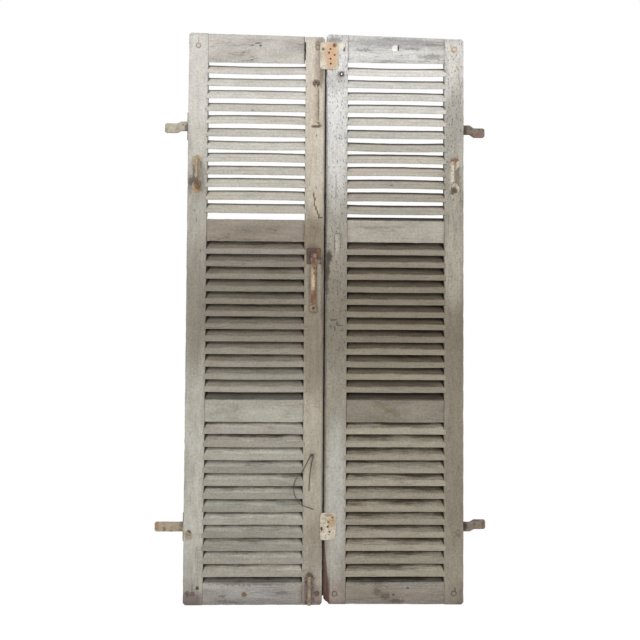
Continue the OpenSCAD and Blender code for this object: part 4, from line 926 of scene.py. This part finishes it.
def head_tree():
    """Fixing heads on points: domed or flat, slotted or not, none quite like the next."""
    tree, given = new_tree("fixing_heads", (
        ("Radius", "Float"), ("Rise", "Float"), ("Sides", "Int"), ("Flat", "Bool"),
        ("Slotted", "Bool"), ("Roughness", "Float"), ("Seed", "Int"), ("Finish", "Material")))
    add = partial(put, tree)
    squat = add(COMBINE, {"X": given["Radius"], "Y": given["Radius"], "Z": given["Rise"]})
    ball = add("GeometryNodeMeshUVSphere", {
        "Segments": given["Sides"], "Rings": 9, "Radius": 1.0})
    disc = add("GeometryNodeMeshCylinder", {
        "Vertices": given["Sides"], "Radius": 1.0, "Depth": 2.0, "Side Segments": 2,
        "Fill Segments": 3})
    head = add("GeometryNodeSwitch", {"Switch": given["Flat"], "False": ball, "True": disc},
               input_type="GEOMETRY")
    head = add("GeometryNodeTransform", {
        "Geometry": head, "Rotation": (math.pi / 2, 0.0, 0.0), "Scale": squat})
    # The slot is cut on both sides, so a head can face either way.
    wide = add(MATH, (given["Radius"], 2.6), operation="MULTIPLY")
    narrow = add(MATH, (given["Radius"], 0.34), operation="MULTIPLY")
    blade = add(COMBINE, {"X": wide, "Y": given["Rise"], "Z": narrow})
    blade = add("GeometryNodeMeshCube", {"Size": blade})
    front = add(COMBINE, {"Y": given["Rise"]})
    back = add(VECTOR, {0: front, "Scale": -1.0}, operation="SCALE")
    blades = add("GeometryNodeJoinGeometry", out=None)
    for side in (front, back):
        moved = add("GeometryNodeTransform", {"Geometry": blade, "Translation": side})
        tree.links.new(moved, blades.inputs[0])
    cut = add("GeometryNodeMeshBoolean", (head, blades.outputs[0]), operation="DIFFERENCE")
    head = add("GeometryNodeSwitch", {"Switch": given["Slotted"], "False": head, "True": cut},
               input_type="GEOMETRY")
    spin = add("FunctionNodeRandomValue", {2: 0.0, 3: 2 * math.pi, "Seed": given["Seed"]}, 1,
               data_type="FLOAT")
    heads = add("GeometryNodeInstanceOnPoints", {
        "Points": given["Geometry"], "Instance": head, "Rotation": add(COMBINE, {"Y": spin})})
    heads = add("GeometryNodeRealizeInstances", {"Geometry": heads})
    uneven = add(NOISE, {"Scale": HEAD_DENTS, "Detail": 2.0}, "Color")
    uneven = add(VECTOR, (uneven, (0.5, 0.5, 0.5)), operation="SUBTRACT")
    uneven = add(VECTOR, {0: uneven, "Scale": given["Roughness"]}, operation="SCALE")
    heads = add("GeometryNodeSetPosition", {"Geometry": heads, "Offset": uneven})
    heads = add("GeometryNodeSetMaterial", {"Geometry": heads, "Material": given["Finish"]})
    add("NodeGroupOutput", (heads,), None)
    return tree


def wire_tree():
    """A round wire along the base mesh's line of edges."""
    tree, given = new_tree("bent_wire", (("Radius", "Float"), ("Finish", "Material")))
    add = partial(put, tree)
    line = add("GeometryNodeMeshToCurve", (given["Geometry"],))
    line = add("GeometryNodeCurveSplineType", {"Curve": line}, spline_type="CATMULL_ROM")
    line = add("GeometryNodeResampleCurve", {"Curve": line, "Count": 160})
    ring = add("GeometryNodeCurvePrimitiveCircle", {"Resolution": 10, "Radius": given["Radius"]})
    wire = add("GeometryNodeCurveToMesh", {
        "Curve": line, "Profile Curve": ring, "Fill Caps": True})
    wire = add("GeometryNodeRealizeInstances", {"Geometry": wire})
    wire = add("GeometryNodeSetMaterial", {"Geometry": wire, "Material": given["Finish"]})
    add("NodeGroupOutput", (wire,), None)
    return tree


def part_boxes(node):
    """Lowest and highest corner of each separate solid of a CAD node."""
    bm = merged_copy(node)
    seen, boxes = set(), []
    for first in bm.verts:
        if first in seen:
            continue
        seen.add(first)
        waiting, found = [first], []
        while waiting:
            vert = waiting.pop()
            found.append(vert.co.copy())
            for edge in vert.link_edges:
                other = edge.other_vert(vert)
                if other not in seen:
                    seen.add(other)
                    waiting.append(other)
        boxes.append([Vector(end(v[i] for v in found) for i in range(3)) for end in (min, max)])
    bm.free()
    return boxes


def make_heads(tree, node, finish, slot, rise, flat=False, slotted=False, sides=18,
               backward=False, seed=0, shrunk=1.0):
    """Stands fixing heads where a CAD node has its fixings."""
    spots = []
    radius = 0.0
    for lo, hi in part_boxes(node):
        radius = max(radius, 0.5 * (hi.x - lo.x))
        y = hi.y - rise if backward else lo.y + rise
        spots.append((0.5 * (lo.x + hi.x), y, 0.5 * (lo.z + hi.z)))
    base = bpy.data.meshes.new(node + "_points")
    base.from_pydata(spots, [], [])
    mesh = grow(tree, base, {
        "Radius": shrunk * radius, "Rise": rise, "Sides": sides, "Flat": flat,
        "Slotted": slotted, "Roughness": HEAD_UNEVEN * radius, "Seed": seed, "Finish": finish})
    place(node, smoothed(mesh, SMALL_CREASE), finish, slot)


class SHUTTERS_OT_boards(bpy.types.Operator):
    """Stiles, rails and the cover strip, with worn arrises"""

    bl_idname = "shutters.boards"
    bl_label = "Stiles and Rails"

    def execute(self, context):
        sizes = context.scene.shutter_sizes
        seed = sizes.seed
        for leaf, marks in (("left", LEFT_MARKS), ("right", RIGHT_MARKS)):
            for board, spots in marks.items():
                seed += 1
                node = f"{leaf}_{board}"
                along = "X" if board.endswith("rail") else "Z"
                # The right leaf's stiles are pitted most. On its meeting stile the pits reach
                # further down, to a smoother foot.
                pitted = leaf == "right" and along == "Z"
                specks, fleck = (0.5, 5.0) if pitted else (0.08, 7.0)
                smooth_foot = node == "right_meeting_stile"
                finish = weathered_paint(
                    f"weathered_paint_{node}", along, tones(leaf), seed,
                    bare=BOARD_BARE.get(node, 0.0), specks=specks, fleck=fleck,
                    pits=0.12 if smooth_foot else 0.25,
                    pit_span=(0.28, 0.5) if smooth_foot else (0.5, 0.8),
                    tint=BOARD_TINT.get(node, (1.0, 1.0, 1.0)), marks=spots)
                place(node, worn_board(node, along, sizes, seed), finish, "painted_wood")
        finish = weathered_paint("weathered_paint_cover_strip", "Z", tones("left"), seed + 1,
                                 bare=0.05)
        place("cover_strip", worn_board("cover_strip", "Z", sizes, seed + 1), finish,
              "painted_wood")
        return {"FINISHED"}


class SHUTTERS_OT_slats(bpy.types.Operator):
    """Six panels of fixed louvre slats"""

    bl_idname = "shutters.slats"
    bl_label = "Louvre Slats"

    def execute(self, context):
        sizes = context.scene.shutter_sizes
        tree = slat_tree()
        for leaf in ("left", "right"):
            for i, (panel, layout) in enumerate(PANELS.items()):
                floor, first, pitch, rise, edge, wedge = layout
                node = f"{leaf}_{panel}_slats"
                lo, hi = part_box(node)
                upper = panel == "upper"
                seed = sizes.seed + 11 * i + (5 if leaf == "right" else 0)
                # Slats get grime, painted shade at the back and in their corners, and painted
                # light on their sloping faces.
                dirt_and_shade = {"depth": SLAT_SHADE[f"{leaf}_{panel}"], "opening": OPENING[leaf],
                        "corners": 9.0 if upper else 20.0, "smeared": SMEARED[panel]}
                finish = weathered_paint(f"slat_paint_{node}", "X", tones(leaf), seed,
                                         specks=0.06, dirt_and_shade=dirt_and_shade)
                values = {
                    "Left End": lo.x, "Length": hi.x - lo.x, "First Height": (floor + first) * MM,
                    "Pitch": pitch * MM, "Count": SLAT_COUNT, "Depth": LEAF_DEPTH,
                    "Rise": rise * MM, "Edge": edge * MM,
                    "Rounding": sizes.upper_round if upper else sizes.slat_round,
                    "Bow": sizes.upper_bow if upper else sizes.slat_bow,
                    "Tilt": sizes.slat_tilt if upper else sizes.slat_tilt / 3,
                    "Closing": node != "left_upper_slats", "Floor": floor * MM, "Seed": seed,
                    "Finish": finish}
                values.update({f"Wedge {k + 1}": (-y * MM, -z * MM, 0.0)
                               for k, (y, z) in enumerate(wedge)})
                mesh = grow(tree, bpy.data.meshes.new(node), values)
                place(node, smoothed(mesh, SMALL_CREASE), finish, "slat_wood")
        return {"FINISHED"}


class SHUTTERS_OT_pegs(bpy.types.Operator):
    """Draw-bore pegs in the end rails' joints"""

    bl_idname = "shutters.pegs"
    bl_label = "Pegs"

    def execute(self, context):
        tree = bpy.data.node_groups.get("fixing_heads") or head_tree()
        for leaf, seed in (("left", 3), ("right", 8)):
            finish = peg_oak(f"peg_oak_{leaf}", seed, PEG_MARKS[leaf])
            make_heads(tree, f"{leaf}_pegs", finish, "peg_wood", 4 * MM, flat=True, sides=11,
                       seed=seed, shrunk=0.95)
        return {"FINISHED"}


class SHUTTERS_OT_hinges(bpy.types.Operator):
    """Wall anchors, hinge plates and pins"""

    bl_idname = "shutters.hinges"
    bl_label = "Hinges and Anchors"

    def execute(self, context):
        sizes = context.scene.shutter_sizes
        for i, (corner, (painted, rusted, paint, spots)) in enumerate(ANCHOR_LOOKS.items()):
            node = f"{corner}_anchor"
            finish = old_iron(f"forged_iron_{node}", 4 + i, painted, rusted, paint, spots,
                              pitted=0.15)
            place(node, forged_copy(node, 1.2 * MM, 0.9 * sizes.dent, i), finish, "rusty_iron")
            hinge = frame["nodes"][f"{corner}_hinge"]
            hinge.material_slots[0].material = old_iron(
                f"forged_iron_{corner}_hinge", 14 + i, 0.5, 0.6, paint)
        for leaf in ("left", "right"):
            pins = frame["nodes"][f"{leaf}_hinge_pins"]
            pins.material_slots[0].material = old_iron(f"turned_iron_{leaf}_pins", 21, 0.1, 0.6)
        return {"FINISHED"}


class SHUTTERS_OT_handles(bpy.types.Operator):
    """Pull handles with leaf-shaped feet"""

    bl_idname = "shutters.handles"
    bl_label = "Handles"

    def execute(self, context):
        sizes = context.scene.shutter_sizes
        for leaf, (seed, paint, spots) in HANDLE_LOOKS.items():
            node = f"{leaf}_handle"
            finish = old_iron(f"painted_iron_{node}", seed, 0.85, 0.5, paint, spots)
            place(node, forged_copy(node, 1.1 * MM, 0.5 * sizes.dent, 2), finish, "painted_iron")
        return {"FINISHED"}


class SHUTTERS_OT_stops(bpy.types.Operator):
    """The two stop plates on the meeting edge"""

    bl_idname = "shutters.stops"
    bl_label = "Stop Plates"

    def execute(self, context):
        sizes = context.scene.shutter_sizes
        for end, (seed, spots) in STOP_LOOKS.items():
            node = f"{end}_stop_plate"
            finish = old_iron(f"painted_iron_{node}", seed, 0.95, 0.6, "#d9cfba", spots,
                              pitted=0.5)
            place(node, forged_copy(node, 0.9 * MM, 0.5 * sizes.dent, 5), finish, "painted_iron")
        return {"FINISHED"}


class SHUTTERS_OT_catches(bpy.types.Operator):
    """Cabin hook, latch plate and swing latch bar"""

    bl_idname = "shutters.catches"
    bl_label = "Hook and Latch"

    def execute(self, context):
        sizes = context.scene.shutter_sizes
        for i, (node, look) in enumerate(CATCH_LOOKS.items()):
            painted, rusted, pitted, paint, slot, spots = look
            finish = old_iron(f"forged_iron_{node}", 51 + i, painted, rusted, paint, spots,
                              pitted=pitted)
            place(node, forged_copy(node, 0.8 * MM, 0.35 * sizes.dent, 7 + i), finish, slot)
        return {"FINISHED"}


class SHUTTERS_OT_bolt(bpy.types.Operator):
    """Foot bolt: plate with two guides, and its rod"""

    bl_idname = "shutters.bolt"
    bl_label = "Foot Bolt"

    def execute(self, context):
        looks = (("bolt_plate", 0.75, 0.3, "#8a7c76", "rusty_iron"),
                 ("bolt_rod", 0.85, 0.4, "#a8987e", "painted_iron"))
        rust_run = (-46, 110, 14, 12, "#4a362b", 0.8)
        for i, (node, painted, rusted, paint, slot) in enumerate(looks):
            finish = old_iron(f"forged_iron_{node}", 61 + i, painted, rusted, paint, (rust_run,),
                              pitted=0.45)
            place(node, forged_copy(node, 0.8 * MM, 0.12 * MM, 11 + i, smooth=2), finish, slot)
        return {"FINISHED"}


class SHUTTERS_OT_fixings(bpy.types.Operator):
    """Nails, screws, rivets and the stud"""

    bl_idname = "shutters.fixings"
    bl_label = "Fixings"

    def execute(self, context):
        tree = bpy.data.node_groups.get("fixing_heads") or head_tree()
        heads = partial(make_heads, tree)
        nail = old_iron("cut_nail_iron", 71, 0.15, 0.6)
        screw = old_iron("slotted_screw_iron", 72, 0.35, 0.55)
        creamy = old_iron("painted_screw_iron", 73, 0.8, 0.6)
        rivet = old_iron("rivet_iron", 74, 0.6, 0.45, "#a08470")
        flush = {"left": old_iron("painted_rivet_iron_left", 76, 0.9, 0.5, "#a39278"),
                 "right": old_iron("painted_rivet_iron_right", 77, 1.0, 0.3, "#857b6c")}
        glint = (54.5, 1800, 3.2, 3.2, "#f4f2ec", 1.0)
        stud = old_iron("stud_iron", 75, 0.05, 0.1, "#5a534c", (glint,))
        for node in ("top_stop_nails", "bottom_stop_nails"):
            heads(node, nail, "rusty_iron", 1.6 * MM, seed=1)
        heads("latch_plate_nails", nail, "rusty_iron", 1.0 * MM, seed=2)
        heads("wire_nail", nail, "rusty_iron", 1.6 * MM, seed=3)
        heads("bolt_screws", screw, "rusty_iron", 1.5 * MM, slotted=True, seed=4)
        for leaf in ("left", "right"):
            heads(f"{leaf}_handle_screws", creamy, "painted_iron", 1.5 * MM, slotted=True, seed=5)
            heads(f"{leaf}_hinge_screws", screw, "rusty_iron", 1.5 * MM, flat=True, slotted=True,
                  backward=True, seed=6)
            heads(f"{leaf}_hinge_rivet", flush[leaf], "rusty_iron", 4.3 * MM, sides=24, seed=7)
        heads("hook_screw", screw, "painted_iron", 3.0 * MM, slotted=True, seed=8)
        heads("latch_rivet", rivet, "rusty_iron", 4.5 * MM, sides=24, seed=9)
        heads("right_stud", stud, "painted_iron", 3.6 * MM, sides=24, seed=10)
        return {"FINISHED"}


class SHUTTERS_OT_wire(bpy.types.Operator):
    """A bent iron wire hung on a nail"""

    bl_idname = "shutters.wire"
    bl_label = "Hanging Wire"

    def execute(self, context):
        nail_x, nail_z = WIRE_NAIL
        points = [((nail_x - out) * MM, y * MM, (nail_z + up) * MM) for out, y, up in WIRE_ROUTE]
        base = bpy.data.meshes.new("wire_route")
        base.from_pydata(points, [(i, i + 1) for i in range(len(points) - 1)], [])
        finish = old_iron("drawn_iron_wire", 81, 0.1, 0.2, "#6f6052")
        mesh = grow(wire_tree(), base, {"Radius": 1.1 * MM, "Finish": finish})
        mesh.shade_smooth()
        place("hanging_wire", mesh, finish, "rusty_iron")
        return {"FINISHED"}


def seen_directly(tree):
    """1 where the lens, a reflection or a clear piece looks at the surface, and 0 elsewhere."""
    rays = put(tree, "ShaderNodeLightPath", out=None).outputs
    seen = rays["Is Camera Ray"]
    for ray in ("Is Glossy Ray", "Is Transmission Ray"):
        seen = put(tree, MATH, (seen, rays[ray]), operation="MAXIMUM")
    return seen


class SHUTTERS_OT_stage(bpy.types.Operator):
    """Pale floor, soft light and the camera"""

    bl_idname = "shutters.stage"
    bl_label = "Stage"

    def execute(self, context):
        scene = context.scene
        scene.view_settings.view_transform = "Standard"
        bm = bmesh.new()
        bmesh.ops.create_grid(bm, x_segments=1, y_segments=1, size=FLOOR_REACH)
        bmesh.ops.translate(bm, verts=bm.verts, vec=(0.0, 0.0, -FLOOR_DROP))
        mesh = bpy.data.meshes.new("floor")
        bm.to_mesh(mesh)
        bm.free()
        floor = bpy.data.objects.new("floor", mesh)
        scene.collection.objects.link(floor)

        # Seamless white paper: the lens sees it almost white, with the object's shadow left in.
        paper, tree, shader, _ = new_finish("white_paper_floor")
        feed(tree, shader, {"Base Color": linear("#f2f2f0"), "Roughness": 0.95})
        seen = put(tree, MATH, (seen_directly(tree), PAPER_SHARE), operation="MULTIPLY")
        glow = put(tree, "ShaderNodeEmission", {"Color": WHITE, "Strength": PAPER_GLOW})
        both = put(tree, "ShaderNodeMixShader", (seen, shader.outputs[0], glow))
        tree.links.new(both, tree.nodes["Material Output"].inputs["Surface"])
        mesh.materials.append(paper)

        world = bpy.data.worlds.new("white_studio")
        scene.world = world
        world.use_nodes = True
        tree = world.node_tree
        tree.nodes.clear()
        level = put(tree, SPREAD, {"Value": seen_directly(tree), "To Min": SKY_LIGHT,
                                   "To Max": SKY_SEEN})
        sky = put(tree, "ShaderNodeBackground", {"Color": WHITE, "Strength": level})
        put(tree, "ShaderNodeOutputWorld", {"Surface": sky}, None)

        # Lamps: name, place, size in metres and power in watts.
        aim = Vector((0.0, 0.0, 0.95))
        for name, at, size, power in (("key", (-1.6, -3.4, 3.0), 2.4, 90.0),
                                      ("fill", (2.2, -3.2, 1.6), 2.6, 42.0)):
            lamp = bpy.data.lights.new(name, "AREA")
            lamp.shape, lamp.size, lamp.energy = "SQUARE", size, power
            rig = bpy.data.objects.new(name, lamp)
            rig.location = at
            rig.rotation_euler = (aim - Vector(at)).to_track_quat("-Z", "Y").to_euler()
            scene.collection.objects.link(rig)

        # The view of the photograph: eye point, turn, and lens for a square picture.
        eye = Vector((-0.0771, -2.4586, 0.8831))
        yaw, pitch, roll = math.radians(1.453), math.radians(1.712), math.radians(0.359)
        ahead = Vector((math.sin(yaw) * math.cos(pitch), math.cos(yaw) * math.cos(pitch),
                        math.sin(pitch)))
        level_right = Vector((math.cos(yaw), -math.sin(yaw), 0.0))
        upright = level_right.cross(ahead)
        right = math.cos(roll) * level_right + math.sin(roll) * upright
        up = -math.sin(roll) * level_right + math.cos(roll) * upright
        lens = bpy.data.cameras.new("camera")
        lens.sensor_width, lens.lens = 36.0, 40.77
        camera = bpy.data.objects.new("camera", lens)
        camera.matrix_world = Matrix((right, up, -ahead)).transposed().to_4x4()
        camera.location = eye
        scene.collection.objects.link(camera)
        scene.camera = camera
        return {"FINISHED"}


OPERATORS = (SHUTTERS_OT_stage, SHUTTERS_OT_boards, SHUTTERS_OT_slats, SHUTTERS_OT_pegs,
             SHUTTERS_OT_hinges, SHUTTERS_OT_handles, SHUTTERS_OT_stops, SHUTTERS_OT_catches,
             SHUTTERS_OT_bolt, SHUTTERS_OT_fixings, SHUTTERS_OT_wire)


class SHUTTERS_PT_panel(bpy.types.Panel):
    """Lists the shutters' pieces, sizes and colours"""

    bl_idname = "SHUTTERS_PT_panel"
    bl_label = "Louvred Shutters"
    bl_space_type = "VIEW_3D"
    bl_region_type = "UI"
    bl_category = "Shutters"

    def draw(self, context):
        for operator in OPERATORS:
            self.layout.operator(operator.bl_idname)
        for group in (context.scene.shutter_sizes, context.scene.shutter_colours):
            for name in group.__annotations__:
                self.layout.prop(group, name)


CLASSES = (ShutterSizes, ShutterColours, *OPERATORS, SHUTTERS_PT_panel)


def register():
    for cls in CLASSES:
        bpy.utils.register_class(cls)
    bpy.types.Scene.shutter_sizes = PointerProperty(type=ShutterSizes)
    bpy.types.Scene.shutter_colours = PointerProperty(type=ShutterColours)


def unregister():
    del bpy.types.Scene.shutter_colours
    del bpy.types.Scene.shutter_sizes
    for cls in reversed(CLASSES):
        bpy.utils.unregister_class(cls)


def main():
    register()
    bpy.ops.shutters.stage()
    bpy.ops.shutters.boards()
    bpy.ops.shutters.slats()
    bpy.ops.shutters.pegs()
    bpy.ops.shutters.hinges()
    bpy.ops.shutters.handles()
    bpy.ops.shutters.stops()
    bpy.ops.shutters.catches()
    bpy.ops.shutters.bolt()
    bpy.ops.shutters.fixings()
    bpy.ops.shutters.wire()


if __name__ == "__main__":
    main()
